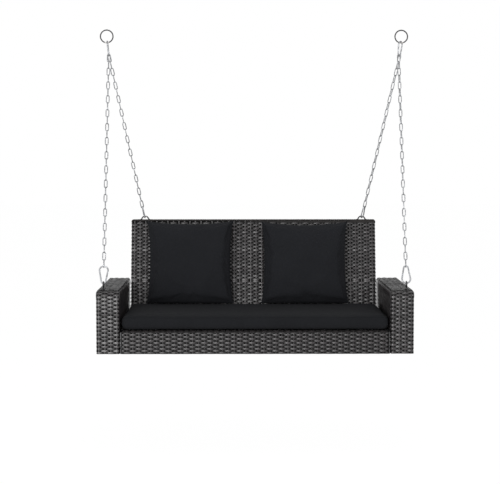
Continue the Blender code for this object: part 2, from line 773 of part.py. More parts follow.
def back_frame(seat):
    """An inverted U of tube with a rail and two stiles inside it."""
    x = leg_x()
    foot = back_foot() + FIT
    top = back_top() - WEAVE - FIT - TUBE / 2
    bm = bmesh.new()
    square_tube(bm, [(-x, foot), (-x, top), (x, top), (x, foot)], TUBE)
    frame = shape("back_frame", bm, seat, back_matrix())
    finish(frame, BLACK_STEEL)
    bm = bmesh.new()
    for side in (-1, 1):
        for low in (0, upper_rail_low()):
            start, end = rear_bolt_run(side, low)
            rod(bm, start, end, BOLT + 2 * HOLE_FIT)
    combine(frame, shape("back_frame_holes", bm, seat), "DIFFERENCE")

    place = empty("back_inside", back_matrix(), seat)
    reach = x - TUBE / 2 - FIT
    rail = BACK_RAIL_HEIGHT
    straight_tube(place, "back_lower_rail", (-reach, 0, rail), (reach, 0, rail), TUBE)
    low = rail + TUBE / 2 + FIT
    high = top - TUBE / 2 - FIT
    for tag, side in (("left", -1), ("right", 1)):
        sx = side * STILE_OFFSET
        straight_tube(place, "back_stile_" + tag, (sx, 0, low), (sx, 0, high), STILE_TUBE)


def back_arch(seat, name, side):
    """A wire arch on the top tube, which a rear snap hook passes through."""
    bm = bmesh.new()
    sweep(bm, arch_path(arch_foot_drop()), round_section(ARCH_WIRE, 6))
    place = back_matrix() @ Matrix.Translation((side * ARCH_OFFSET, 0, back_top() + FIT))
    arch = shape(name, bm, seat, place)
    finish(arch, BLACK_STEEL)
    soften(arch)


# --- Rings, snap hooks and chains -------------------------------------------------------------------


def hanging_ring(name, side):
    """A fixed wire ring whose lowest wire the bench swings on."""
    bm = bmesh.new()
    radius = (RING_OUTER - RING_WIRE) / 2
    torus(bm, radius, RING_WIRE, steps=24, sides=6)
    ring = shape(name, bm, None, Matrix.Translation((side * RING_OFFSET, 0, radius)))
    finish(ring, BLACK_STEEL)
    soften(ring)


class HookShape:
    """The pear outline of a snap hook: narrow end at the origin, wide end up local Z, gate at +X."""

    def __init__(self, sizes):
        self.length, self.width, self.narrow, self.wire = sizes
        self.span = self.length - self.wire
        self.low_radius = (self.narrow - self.wire) / 2
        self.high_radius = (self.width - self.wire) / 2
        self.low_centre = Vector((0, self.low_radius))
        self.high_centre = Vector((0, self.span - self.high_radius))
        drop = (self.low_radius - self.high_radius) / (self.high_centre.y - self.low_centre.y)
        self.lean = math.asin(drop)
        self.normal = Vector((math.cos(self.lean), math.sin(self.lean)))
        self.foot = self.low_centre + self.normal * self.low_radius
        self.head = self.high_centre + self.normal * self.high_radius
        self.along = (self.head - self.foot).normalized()
        self.shoulder = self.foot + self.along * HOOK_SHOULDER * self.wire
        self.pivot = self.shoulder + self.along * HOOK_PIVOT * self.wire
        self.nose = self.head - self.along * HOOK_NOSE * self.wire
        self.tab = HOOK_TAB * self.wire
        self.latch = HOOK_LATCH * self.wire

    def body_path(self):
        """The bent wire from the gate's hinge round both ends to the nose."""
        low = bend(self.low_centre, self.low_radius, self.lean, -math.pi - self.lean, 6)
        high = bend(self.high_centre, self.high_radius, math.pi - self.lean, self.lean, 6)
        return [self.shoulder] + low + high + [self.nose]

    def tab_outline(self, start, end, half):
        """A flat tab along the gate's line, round at its far end."""
        along = (end - start).normalized()
        across = Vector((along.y, -along.x))
        base = math.atan2(across.y, across.x)
        return [start - across * half, start + across * half] + arc(end, half, base, base + math.pi, 4)


def snap_hook(parent, name, sizes, frame):
    """A snap hook's wire body with a flat tab at each end of its opening, and its sprung gate."""
    form = HookShape(sizes)
    wire = form.wire
    half = HOOK_TAB_HALF * wire
    root = form.along * HOOK_TAB_ROOT * wire
    place = empty(name, frame, parent)

    bm = bmesh.new()
    sweep(bm, form.body_path(), round_section(wire, 6))
    body = shape(name + "_body", bm, place)
    finish(body, ZINC)
    soften(body)
    bm = bmesh.new()
    prism(bm, form.tab_outline(form.shoulder - root, form.pivot, half), form.tab)
    tip = form.nose - form.along * (form.latch - half + GATE_TIP_GAP)
    prism(bm, form.tab_outline(form.nose + root, tip, half), form.tab)
    combine(body, shape(name + "_tabs", bm, place), "UNION")
    pin = GATE_PIN * wire
    bm = bmesh.new()
    x, z = form.pivot
    rod(bm, (x, -wire, z), (x, wire, z), pin + 2 * FIT)
    combine(body, shape(name + "_pin_hole", bm, place), "DIFFERENCE")

    turn = Matrix((Vector((form.normal.x, 0, form.normal.y)), Vector((0, 1, 0)),
                   Vector((form.along.x, 0, form.along.y)))).transposed().to_4x4()
    hinge = empty(name + "_gate_hinge", Matrix.Translation((x, 0, z)) @ turn, place)
    reach = (form.nose - form.pivot).length - GATE_NOSE_GAP
    bm = bmesh.new()
    rod(bm, (0, 0, -GATE_HEEL * wire), (0, 0, reach), GATE_WIRE * wire)
    gate = shape(name + "_gate", bm, hinge)
    finish(gate, ZINC)
    soften(gate)
    slot = form.tab / 2 + FIT
    bm = bmesh.new()
    box(bm, (-wire, -slot, -wire), (wire, slot, half + GATE_SLOT_GAP))
    box(bm, (-wire, -slot, reach - form.latch - GATE_SLOT_GAP), (wire, slot, reach + wire))
    combine(gate, shape(name + "_gate_slots", bm, hinge), "DIFFERENCE")
    pin_half = GATE_PIN_HALF * wire
    bm = bmesh.new()
    rod(bm, (0, -pin_half, 0), (0, pin_half, 0), pin)
    combine(gate, shape(name + "_gate_pin", bm, hinge), "UNION")


def link_path(pitch):
    """The middle of a link's wire: an elongated ring with flat crowns."""
    crown = (pitch + LINK_WIRE - LINK_LAP) / 2
    side = (LINK_WIDTH - LINK_WIRE) / 2
    knee = crown - side
    flat = LINK_CROWN_FLAT * side
    half = [Vector((side, knee)), Vector((flat, crown)), Vector((-flat, crown)), Vector((-side, knee))]
    return half + [-p for p in half]


def chain(parent, name, start, end, first_across, last_across):
    """A straight run of links between the wires of two crowns, each link a quarter turn from the last."""
    run = end - start
    count = round((run.length - LINK_WIRE) / LINK_PITCH)
    pitch = (run.length - LINK_WIRE) / count
    frame = hook_frame(start, run, first_across)
    final = frame.to_3x3().inverted() @ last_across
    twist = math.atan2(final.y, final.x) - (count - 1) * math.pi / 2
    twist = math.remainder(twist, math.pi)
    halves = (bmesh.new(), bmesh.new())
    for k in range(count):
        bm = halves[k % 2]
        before = set(bm.verts)
        sweep(bm, link_path(pitch), square_section(LINK_WIRE), closed=True)
        fresh = [v for v in bm.verts if v not in before]
        height = (pitch + LINK_WIRE) / 2 + k * pitch
        turn = k * math.pi / 2 + twist * k / (count - 1)
        place = Matrix.Translation((0, 0, height)) @ Matrix.Rotation(turn, 4, "Z")
        bmesh.ops.transform(bm, matrix=place, verts=fresh)
    links = shape(name, halves[0], parent, frame)
    finish(links, ZINC)
    combine(links, shape(name + "_turned_links", halves[1], parent, frame), "UNION")


def link_seat(frame, aim, offset):
    """The crown of a chain's last link on a hook's lower wire, on one side of the hook's middle."""
    across, normal, up = (frame.col[k].to_3d() for k in range(3))
    shift = normal * (aim.dot(normal) / aim.dot(up))
    return frame.translation + across * offset + (up + shift) * TOP_LINK_RISE


def top_hook_frame(side):
    """The frame of a side's top hook, whose wide end hangs on its ring's lowest wire."""
    ring_radius = (RING_OUTER - RING_WIRE) / 2
    ring_centre = Vector((side * RING_OFFSET, 0, ring_radius))
    down = Vector((-side * math.sin(TOP_HOOK_LEAN), 0, -math.cos(TOP_HOOK_LEAN)))
    crown = ring_centre + down * (ring_radius - (RING_WIRE + TOP_HOOK_WIRE) / 2 - HOOK_PLAY)
    turn = TOP_HOOK_TURN[side]
    across = Vector((math.sin(turn), math.cos(turn), 0))
    return hook_frame(crown + down * HookShape(TOP_HOOK).span, -down, across)


def rig_front(pivot, seat_place, tag, side, top_frame):
    """A front snap hook in its eye bolt, and the chain from it to the top hook."""
    eye = seat_place @ eye_centre(side)
    form = HookShape(FRONT_HOOK)
    grip = (EYE_OUTER - EYE_WIRE) / 2 - (EYE_WIRE + form.wire) / 2 - FIT
    aim = (top_frame.translation - eye).normalized()
    low = eye + aim * grip
    high = low + aim * form.span
    across = Vector((1, 0, 0))
    frame = hook_frame(low, aim, across) if side < 0 else hook_frame(high, -aim, across)
    snap_hook(pivot, "front_hook_" + tag, FRONT_HOOK, frame)
    start = high - aim * ((form.wire + LINK_WIRE) / 2 + LINK_PLAY)
    end = link_seat(top_frame, aim, -TOP_LINK_SPREAD)
    chain(pivot, "front_chain_" + tag, start, end, frame.col[1].to_3d(), top_frame.col[1].to_3d())


def rig_rear(pivot, seat_place, tag, side, top_frame):
    """A rear snap hook on its wire arch, and the chain from it to the top hook."""
    rise = back_top() + FIT + ARCH_RISE - ARCH_RADIUS
    centre = seat_place @ back_matrix() @ Vector((side * ARCH_OFFSET, 0, rise))
    aim = (top_frame.translation - centre).normalized()
    normal = Matrix.Rotation(-BACK_RECLINE, 3, "X").col[1]
    flat = aim - normal * aim.dot(normal)
    contact = centre + flat.normalized() * ARCH_RADIUS
    aim = (top_frame.translation - contact).normalized()
    end = link_seat(top_frame, aim, TOP_LINK_SPREAD)
    aim = (end - contact).normalized()
    form = HookShape(REAR_HOOK)
    low = contact - aim * ((ARCH_WIRE + form.wire) / 2 + HOOK_PLAY)
    high = low + aim * form.span
    across = Matrix.Rotation(REAR_HOOK_TURN[side], 3, aim) @ Vector((0, 1, 0))
    frame = hook_frame(high, -aim, across)
    snap_hook(pivot, "rear_hook_" + tag, REAR_HOOK, frame)
    start = high - aim * ((form.wire + LINK_WIRE) / 2 + LINK_PLAY)
    chain(pivot, "rear_chain_" + tag, start, end, frame.col[1].to_3d(), top_frame.col[1].to_3d())


def rig_side(pivot, seat_place, tag, side):
    """Everything that hangs one side of the bench."""
    top_frame = top_hook_frame(side)
    snap_hook(pivot, "top_hook_" + tag, TOP_HOOK, top_frame)
    rig_front(pivot, seat_place, tag, side, top_frame)
    rig_rear(pivot, seat_place, tag, side, top_frame)


# --- Cushions ---------------------------------------------------------------------------------------


def cushion(seat):
    """The long seat cushion, from arm to arm and from the front edge to the back."""
    low = DECK_HEIGHT + SOFT_GAP
    x = INNER_HALF - CUSHION_SIDE_GAP
    bm = bmesh.new()
    box(bm, (-x, CUSHION_FRONT, low), (x, back_front_y(low) - SOFT_GAP, low + CUSHION_THICKNESS))
    bmesh.ops.bevel(bm, geom=bm.edges[:], offset=CUSHION_RADIUS, segments=3, profile=0.5, affect="EDGES")
    pad = shape("seat_cushion", bm, seat)
    finish(pad, CHARCOAL_CLOTH)
    soften(pad)


def pillow(seat, name, x):
    """A square pillow that leans on the back: full in the middle, thin along its edges."""
    steps = 8
    bm = bmesh.new()
    sheets = []
    for face in (-1, 1):
        grid = []
        for i in range(steps + 1):
            row = []
            for j in range(steps + 1):
                u = 2 * i / steps - 1
                v = 2 * j / steps - 1
                fullness = (1 - u ** 4) * (1 - v ** 4)
                crown = fullness ** PILLOW_CROWN
                swell = PILLOW_EDGE / 2 + (PILLOW_THICKNESS - PILLOW_EDGE) / 2 * crown
                row.append(bm.verts.new((u * PILLOW_WIDTH / 2, face * swell, v * PILLOW_HEIGHT / 2)))
            grid.append(row)
        sheets.append(grid)
        for i in range(steps):
            for j in range(steps):
                bm.faces.new((grid[i][j], grid[i + 1][j], grid[i + 1][j + 1], grid[i][j + 1]))
    loops = [outer_loop(grid, steps) for grid in sheets]
    skin(bm, loops[0], loops[1])
    bmesh.ops.recalc_face_normals(bm, faces=bm.faces)
    offset = -BACK_THICKNESS / 2 - SOFT_GAP - PILLOW_THICKNESS / 2
    rest = DECK_HEIGHT + SOFT_GAP + CUSHION_THICKNESS + SOFT_GAP
    lift = rest / math.cos(BACK_RECLINE) + (offset + PILLOW_EDGE / 2) * math.tan(BACK_RECLINE)
    lift += PILLOW_HEIGHT / 2
    place = back_matrix() @ Matrix.Translation((x, offset, lift))
    pad = shape(name, bm, seat, place)
    finish(pad, CHARCOAL_CLOTH)
    soften(pad)


def outer_loop(grid, steps):
    """The border vertices of a grid, in order round it."""
    border = [grid[i][0] for i in range(steps)]
    border += [grid[steps][j] for j in range(steps)]
    border += [grid[i][steps] for i in range(steps, 0, -1)]
    border += [grid[0][j] for j in range(steps, 0, -1)]
    return border


# --- The whole bench --------------------------------------------------------------------------------


def build():
    """Make every piece in its place."""
    clear_scene()
    pivot = empty("swing_pivot", Matrix.Identity(4))
    seat_place = Matrix.Translation((0, -AXIS_SETBACK, -HANG_DROP))
    seat = empty("seat_origin", seat_place, pivot)
    for tag, side in (("left", -1), ("right", 1)):
        hanging_ring("hanging_ring_" + tag, side)
        rig_side(pivot, seat_place, tag, side)
        arm_skin(seat, "arm_weave_" + tag, side)
        arm_frame(seat, "arm_frame_" + tag, side)
        eye_bolt(seat, "eye_bolt_" + tag, side)
        eye_washer(seat, "eye_washer_" + tag, side)
        eye_nut(seat, "eye_nut_" + tag, side)
        back_arch(seat, "back_arch_" + tag, side)
        for k, y in enumerate(arm_bolt_places(), start=1):
            bolt(seat, f"arm_bolt_{tag}_{k}", side_bolt_run(side, y))
        for level, low in (("lower", 0), ("upper", upper_rail_low())):
            bolt(seat, f"back_bolt_{level}_{tag}", rear_bolt_run(side, low))
    seat_frame(seat)
    seat_skin(seat)
    back_frame(seat)
    back_skin(seat, "back_weave")
    cushion(seat)
    pillow(seat, "pillow_left", PILLOW_LEFT_SPACE + PILLOW_WIDTH / 2 - INNER_HALF)
    pillow(seat, "pillow_right", INNER_HALF - PILLOW_RIGHT_SPACE - PILLOW_WIDTH / 2)
    bpy.context.view_layer.update()


build()
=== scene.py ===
import math

import bpy
import numpy as np
from mathutils import Matrix, Vector
from mathutils.bvhtree import BVHTree


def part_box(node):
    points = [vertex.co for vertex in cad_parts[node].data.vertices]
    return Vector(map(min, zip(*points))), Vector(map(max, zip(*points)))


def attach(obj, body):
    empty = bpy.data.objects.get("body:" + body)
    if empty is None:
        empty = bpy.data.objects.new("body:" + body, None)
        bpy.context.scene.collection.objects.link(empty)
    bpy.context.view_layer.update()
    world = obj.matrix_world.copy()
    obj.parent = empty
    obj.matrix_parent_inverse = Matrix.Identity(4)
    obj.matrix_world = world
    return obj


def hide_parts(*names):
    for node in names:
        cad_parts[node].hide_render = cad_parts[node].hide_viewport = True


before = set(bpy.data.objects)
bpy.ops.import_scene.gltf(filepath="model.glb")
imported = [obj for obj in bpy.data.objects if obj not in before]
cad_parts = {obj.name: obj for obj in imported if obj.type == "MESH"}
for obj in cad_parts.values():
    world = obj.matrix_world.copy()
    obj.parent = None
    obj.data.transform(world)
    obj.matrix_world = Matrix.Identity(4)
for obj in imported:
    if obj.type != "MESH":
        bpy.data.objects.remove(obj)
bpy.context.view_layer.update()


# --- The room ---------------------------------------------------------------------------------------
# The bench hangs clear of a pale floor in a bright, plain room. A broad, low sheet of soft light stands in
# front to the left, a small one to the right and one above, and the room's own light fills the shadows.


class Shade:
    """An output of a shader node. Sums on it add Math nodes, and node() adds any other node."""

    def __init__(self, socket):
        self.socket = socket

    def node(self, kind, settings, sockets, output=0):
        """A node of a kind: its settings first, then its sockets' values or links."""
        tree = self.socket.id_data
        made = tree.nodes.new("ShaderNode" + kind)
        for key, value in settings.items():
            setattr(made, key, value)
        for key, value in sockets.items():
            if isinstance(value, Shade):
                tree.links.new(value.socket, made.inputs[key])
            else:
                made.inputs[key].default_value = value
        return Shade(made.outputs[output]) if made.outputs else None

    def sum(self, operation, first, second):
        return self.node("Math", {"operation": operation}, {0: first, 1: second})

    def __add__(self, other):
        return self.sum("ADD", self, other)

    def __radd__(self, other):
        return self.sum("ADD", other, self)

    def __sub__(self, other):
        return self.sum("SUBTRACT", self, other)

    def __rsub__(self, other):
        return self.sum("SUBTRACT", other, self)

    def __mul__(self, other):
        return self.sum("MULTIPLY", self, other)

    def between(self, low, high):
        """How far this value has come from low to high, smoothly, from 0 to 1."""
        settings = {"interpolation_type": "SMOOTHSTEP"}
        return self.node("MapRange", settings, {"Value": self, "From Min": low, "From Max": high})

    def noise(self, scale, detail=2.0, rough=0.5):
        """Soft noise at these coordinates, from 0 to 1, in so many waves to the metre."""
        sockets = {"Vector": self, "Scale": scale, "Detail": detail, "Roughness": rough}
        return self.node("TexNoise", {}, sockets)

    def tint(self, first, second):
        """A colour that goes from the first to the second as this value goes from 0 to 1."""
        first, second = (c if isinstance(c, Shade) else (*c, 1) for c in (first, second))
        return self.node("Mix", {"data_type": "RGBA"}, {0: self, 6: first, 7: second}, 2)

    def bump(self, height, distance=0.001):
        """The surface's direction where this value is a relief of a height between 0 and 1."""
        return self.node("Bump", {}, {"Height": self, "Strength": height, "Distance": distance})


def material(name):
    """An empty material, and the object's own coordinates that its patterns start from."""
    look = bpy.data.materials.new(name)
    look.use_nodes = True
    look.node_tree.nodes.clear()
    coordinates = look.node_tree.nodes.new("ShaderNodeTexCoord")
    return look, Shade(coordinates.outputs["Object"])


def coat(place, **sockets):
    """The material's surface, a Principled shader with these sockets (an underline for a space)."""
    named = {key.replace("_", " "): value for key, value in sockets.items()}
    shader = place.node("BsdfPrincipled", {}, named)
    place.node("OutputMaterial", {}, {"Surface": shader})


def new_object(name, data):
    """An object of this mesh, lamp or camera, put in the scene."""
    item = bpy.data.objects.new(name, data)
    bpy.context.collection.objects.link(item)
    return item


camera = new_object("camera", bpy.data.cameras.new("camera"))
camera.data.sensor_width = 36.0
camera.data.lens = 103.7
camera.location = (-0.081, -6.301, -0.483)
camera.rotation_euler = (math.radians(90.0 - 3.49), 0.0, math.radians(-0.573))
bpy.context.scene.camera = camera
bpy.context.scene.view_settings.view_transform = "Standard"

FLOOR_HEIGHT = -1.73
FLOOR_SIZE = 60.0
FLOOR_COLOUR = (0.86, 0.86, 0.86)
FLOOR_WHITENESS = 0.95
FLOOR_GLOW = 1.03

floor_mesh = bpy.data.meshes.new("floor")
half = FLOOR_SIZE / 2
floor_mesh.from_pydata([(-half, -half, FLOOR_HEIGHT), (half, -half, FLOOR_HEIGHT),
                        (half, half, FLOOR_HEIGHT), (-half, half, FLOOR_HEIGHT)], [], [(0, 1, 2, 3)])
floor = new_object("floor", floor_mesh)
pale, place = material("pale_floor")
rays = place.node("LightPath", {}, {}).socket.node.outputs
seen = Shade(rays["Is Camera Ray"]) + Shade(rays["Is Glossy Ray"])
lit = place.node("BsdfDiffuse", {}, {"Color": (*FLOOR_COLOUR, 1)})
glow = place.node("Emission", {}, {"Color": (1, 1, 1, 1), "Strength": FLOOR_GLOW})
surface = place.node("MixShader", {}, {0: seen.between(0.0, 1.0) * FLOOR_WHITENESS, 1: lit, 2: glow})
place.node("OutputMaterial", {}, {"Surface": surface})
floor_mesh.materials.append(pale)

world = bpy.data.worlds.new("room")
bpy.context.scene.world = world
world.use_nodes = True
background = world.node_tree.nodes["Background"]
rays = Shade(background.outputs[0]).node("LightPath", {}, {}).socket.node.outputs
seen = Shade(rays["Is Camera Ray"]) + Shade(rays["Is Glossy Ray"]) + Shade(rays["Is Transmission Ray"])
ROOM_LIGHT = 0.42
strength = ROOM_LIGHT + seen.between(0.0, 1.0) * (1.0 - ROOM_LIGHT)
world.node_tree.links.new(strength.socket, background.inputs["Strength"])
background.inputs["Color"].default_value = (1, 1, 1, 1)


def soft_box(name, place, target, width, height, power):
    """A sheet of soft light at a place, turned towards a target."""
    lamp = new_object(name, bpy.data.lights.new(name, "AREA"))
    lamp.data.shape = "RECTANGLE"
    lamp.data.size = width
    lamp.data.size_y = height
    lamp.data.energy = power
    lamp.location = place
    lamp.rotation_euler = (Vector(target) - Vector(place)).to_track_quat("-Z", "Y").to_euler()


soft_box("key_light", (-2.3, -6.9, -0.05), (0, 0, -0.9), 4.6, 3.1, 355)
soft_box("side_light", (3.6, -3.8, 0.5), (0, 0, -1.0), 1.2, 1.2, 40)
soft_box("top_light", (0.3, -0.6, 3.2), (0, 0, -1.0), 1.8, 1.8, 28)


# --- Steel frame ------------------------------------------------------------------------------------
# Square tube, welded up into arm frames, seat loops and an upside-down U for the back, and powder coated
# black. Nearly all of it is inside the weave; the coat shows a fine orange peel and some dust.


def black_coat(name, scuffs):
    """Black powder coat: an orange-peel relief, dust in patches, and scuffs down to grey metal."""
    look, place = material(name)
    peel = place.noise(900.0, 1.0)
    dust = place.noise(38.0, 5.0, 0.6).between(0.46, 0.72)
    wear_and_painted_shade = place.noise(150.0, 3.0, 0.7).between(1.0 - scuffs, 1.06 - scuffs)
    colour = (dust * 0.35).tint((0.016, 0.016, 0.018), (0.060, 0.057, 0.052))
    colour = (wear_and_painted_shade * 0.8).tint(colour, (0.24, 0.24, 0.25))
    coat(place, Base_Color=colour, Metallic=wear_and_painted_shade * 0.8, Roughness=0.36 + dust * 0.22 + peel * 0.08,
         Normal=peel.bump(0.25, 0.0004))
    return look


frame_coat = black_coat("frame_coat", 0.24)
STEEL = ["arm_frame_left", "arm_frame_right", "seat_lower_loop", "seat_upper_loop",
         "seat_post_front_left", "seat_post_front_right", "seat_post_rear_left", "seat_post_rear_right",
         "seat_cross_bar_left", "seat_cross_bar_right", "back_frame", "back_lower_rail",
         "back_stile_left", "back_stile_right"]


def dress(node, look):
    """Give every material slot of a CAD piece this material."""
    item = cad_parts[node]
    for spot in item.material_slots:
        spot.material = look


for node in STEEL:
    dress(node, frame_coat)


# --- Bolts, washers and nuts ------------------------------------------------------------------------
# Button-head bolts hold the arms and the back to the seat's loops. They and the eye bolts' washers are
# blackened steel, scuffed in patches down to grey metal; the nuts under the arms are zinc plated.


def zinc_plate(name, dull):
    """Zinc: a mottled grey metal with small crystals and dark grime."""
    look, place = material(name)
    crystals = place.node("TexVoronoi", {"feature": "F1"}, {"Vector": place, "Scale": 420.0}, "Color")
    spangle = place.node("SeparateColor", {}, {0: crystals}) * 0.5 + place.noise(240.0, 2.0) * 0.5
    grime = place.noise(70.0, 5.0, 0.65).between(0.42, 0.68)
    colour = spangle.tint((0.20, 0.205, 0.215), (0.52, 0.53, 0.55))
    colour = (grime * dull).tint(colour, (0.060, 0.057, 0.052))
    coat(place, Base_Color=colour, Metallic=1.0 - grime * 0.45,
         Roughness=0.30 + spangle * 0.12 + grime * 0.22,
         Normal=place.noise(700.0, 2.0).bump(0.18, 0.0003))
    return look


bolt_black = black_coat("bolt_black", 0.36)
nut_zinc = zinc_plate("nut_zinc", 0.5)
for side in ("left", "right"):
    for tag in ("arm_bolt_%s_1", "arm_bolt_%s_2", "arm_bolt_%s_3", "back_bolt_lower_%s", "back_bolt_upper_%s",
                "eye_washer_%s"):
        dress(tag % side, bolt_black)
    dress("eye_nut_" + side, nut_zinc)


# --- Arm weave --------------------------------------------------------------------------------------
# Flat strands of dark plastic rattan, woven in and out of upright stakes round all four walls of an arm.
# The stakes of the front run on over the top, where shorter strands cross them and turn down at the sides.

STRAND_WIDTH = 0.0094
STRAND_THICKNESS = 0.0015
STRAND_PITCH = 0.0083
STAKE_WIDTH = 0.0066
STAKE_THICKNESS = 0.0016
WEAVE_MIDDLE = 0.0025
WEAVE_SWING = 0.0017
SAMPLE = 0.00625
STRAND_SHAPE = np.array([(-0.5, -0.5), (0.5, -0.5), (0.45, 0.22), (0.0, 0.5), (-0.45, 0.22)])
STRAND_ROLL = (0.045, 0.055)
WIDTH_SPREAD = (0.95, 1.03)
LOOP_SLACK = 0.0003
CROSSING_SLACK = 0.0002
CLOSE_DEPTH = 0.0010
TUCKED_DEPTH = 0.0040
WEAVE_EDGE = 0.0006


def full_turn(count):
    """The angles of so many even steps round a circle."""
    return 2 * math.pi * np.arange(count) / count


def on_circle(turn):
    """Places on a circle of radius 1: (cos, sin) of each angle."""
    return np.stack([np.cos(turn), np.sin(turn)], -1)


def carried(centre, first, second, section, closed):
    """A closed profile carried along rows of samples: corner = centre + first * x + second * y.
    Neighbouring samples are joined by quads, and open ends are closed; the faces are then turned so
    that the solid's volume, the sum of its corner tetrahedra, is positive."""
    points = centre[:, :, None] + first[:, :, None] * section[..., :1] + second[:, :, None] * section[..., 1:]
    rows, samples, corners = points.shape[:3]
    number = np.arange(rows * samples * corners).reshape(rows, samples, corners)
    here, ahead = (number, np.roll(number, -1, 1)) if closed else (number[:, :-1], number[:, 1:])
    faces = [np.stack([here, ahead, np.roll(ahead, -1, 2), np.roll(here, -1, 2)], -1).reshape(-1, 4)]
    if not closed:
        faces += [number[:, 0], number[:, -1, ::-1]]
    points = points.reshape(-1, 3)
    volume = 0.0
    for ring in faces:
        for k in range(1, ring.shape[1] - 1):
            a, b, c = points[ring[:, 0]], points[ring[:, k]], points[ring[:, k + 1]]
            volume += np.einsum("ij,ij->", a, np.cross(b, c))
    return points, faces if volume > 0 else [ring[:, ::-1] for ring in faces]


def joined(parts):
    """Several meshes as one: each one's corner numbers are moved on by the points before it."""
    points, faces, total = [], [], 0
    for some_points, some_faces in parts:
        faces += [ring + total for ring in some_faces]
        points.append(some_points)
        total += len(some_points)
    return np.concatenate(points), faces


def mark_points(mesh, **marks):
    """A number on every point of a mesh for each mark, for its material to read."""
    for mark, values in marks.items():
        mesh.attributes.new(mark, "FLOAT", "POINT").data.foreach_set("value", values.astype(np.float32))


def new_piece(name, points, faces, look, crease=80.0, **marks):
    """A smooth-shaded object of these points and faces, with a number on every point for each mark."""
    mesh = bpy.data.meshes.new(name)
    sizes = np.concatenate([np.full(len(ring), ring.shape[1]) for ring in faces])
    corners = np.concatenate([ring.ravel() for ring in faces])
    mesh.vertices.add(len(points))
    mesh.vertices.foreach_set("co", points.ravel())
    mesh.loops.add(len(corners))
    mesh.polygons.add(len(sizes))
    mesh.polygons.foreach_set("loop_start", np.cumsum(sizes) - sizes)
    mesh.loops.foreach_set("vertex_index", corners)
    mesh.update(calc_edges=True)
    mesh.polygons.foreach_set("use_smooth", np.ones(len(sizes), bool))
    mesh.set_sharp_from_angle(angle=math.radians(crease))
    mark_points(mesh, **marks)
    mesh.materials.append(look)
    return new_object(name, mesh)


def outline(*corners):
    """Places and facings along a path of points (place, facing) and arcs (centre, radius, start, end):
    on an arc, facing = (cos, sin) of the angle and place = centre + radius * facing."""
    places, facings = [], []
    for corner in corners:
        if len(corner) == 2:
            places.append([corner[0]])
            facings.append([corner[1]])
            continue
        centre, radius, start, end = corner
        turn = np.radians(np.linspace(start, end, 6))
        facing = on_circle(turn)
        places.append(np.array(centre) + radius * facing)
        facings.append(facing)
    return np.concatenate(places), np.concatenate(facings)


def walk(path, step):
    """Samples along a path, its corners among them and at most a step apart: distance, place, facing."""
    places, facings = path
    length = np.linalg.norm(np.diff(places, axis=0), axis=1)
    parts = np.maximum(1, np.ceil(length / step)).astype(int)
    leg = np.append(np.repeat(np.arange(len(length)), parts), len(length) - 1)
    share = np.append(np.concatenate([np.arange(n) / n for n in parts]), 1.0)[:, None]
    run = np.append(0, np.cumsum(length))
    mixed = [values[leg] * (1 - share) + values[leg + 1] * share
             for values in (run[:, None], places, facings)]
    return mixed[0][:, 0], mixed[1], mixed[2] / np.linalg.norm(mixed[2], axis=1)[:, None]


def at(path, distance):
    """Place and facing at distances along a path, mixed between its corners."""
    run = np.append(0, np.cumsum(np.linalg.norm(np.diff(path[0], axis=0), axis=1)))
    place, facing = (np.stack([np.interp(distance, run, v[:, k]) for k in (0, 1)], -1) for v in path)
    return place, facing / np.linalg.norm(facing, axis=-1)[..., None]


def strands(centre, facing, across, width, thickness, closed, chance, crown=0.5):
    """Flat strands with a low dome, one to a row, each rolled a little about its length at random. Their
    marks say where each point is across its strand, which shade the strand has, drawn at random, and how
    far it stands out of the weave, from 0 to 1."""
    rows, samples = centre.shape[:2]
    section = np.broadcast_to(STRAND_SHAPE, (rows, samples, 5, 2)) * np.stack(
        np.broadcast_arrays(width * np.ones((rows, samples)), thickness), -1)[:, :, None]
    roll = chance.normal(*STRAND_ROLL, (rows, 1, 1))
    points, faces = carried(centre, across - facing * roll, facing + across * roll, section, closed)
    side = np.tile(STRAND_SHAPE[:, 0], rows * samples)
    shade = np.repeat(chance.random(rows), samples * 5)
    return points, faces, side, shade, np.repeat(np.broadcast_to(crown, (rows, samples)).ravel(), 5)


def waved(distance, spacing, rows):
    """How deep each row lies at each distance: middle - swing * cos(pi * (distance / spacing - 1/2)), so
    that it passes over one stake and under the next, and every other row does the opposite."""
    wave = np.cos(np.pi * (distance / spacing - 0.5))
    return WEAVE_MIDDLE - WEAVE_SWING * wave * np.where(np.arange(rows) % 2, -1, 1)[:, None]


def even_places(spine):
    """Distances along a spine for strands that lie side by side and fill it evenly."""
    length = np.linalg.norm(np.diff(spine[0], axis=0), axis=1).sum()
    count = round(length / STRAND_PITCH)
    return (np.arange(count) + 0.5) * length / count


def slack(chance, distance, rows, size):
    """A slow wander of each row: size * sin(2 pi * distance / length + phase), each with its own."""
    length = chance.uniform(0.14, 0.40, (rows, 1))
    phase = chance.uniform(0, 2 * math.pi, (rows, 1))
    return size * chance.uniform(0.3, 1.0, (rows, 1)) * np.sin(2 * math.pi * distance / length + phase)


def woven_piece(name, parts, look):
    """Strands and stakes as one object."""
    points, faces = joined([part[:2] for part in parts])
    side, shade, crown = (np.concatenate([part[k] for part in parts]) for k in (2, 3, 4))
    return new_piece(name, points, faces, look, 45.0, side=side, shade=shade, crown=crown)


def standing(depth):
    """How far a strand stands out of the weave: 1 at the top of its swing, 0 at the bottom."""
    return np.clip((WEAVE_MIDDLE + WEAVE_SWING - depth) / (2 * WEAVE_SWING), 0, 1)


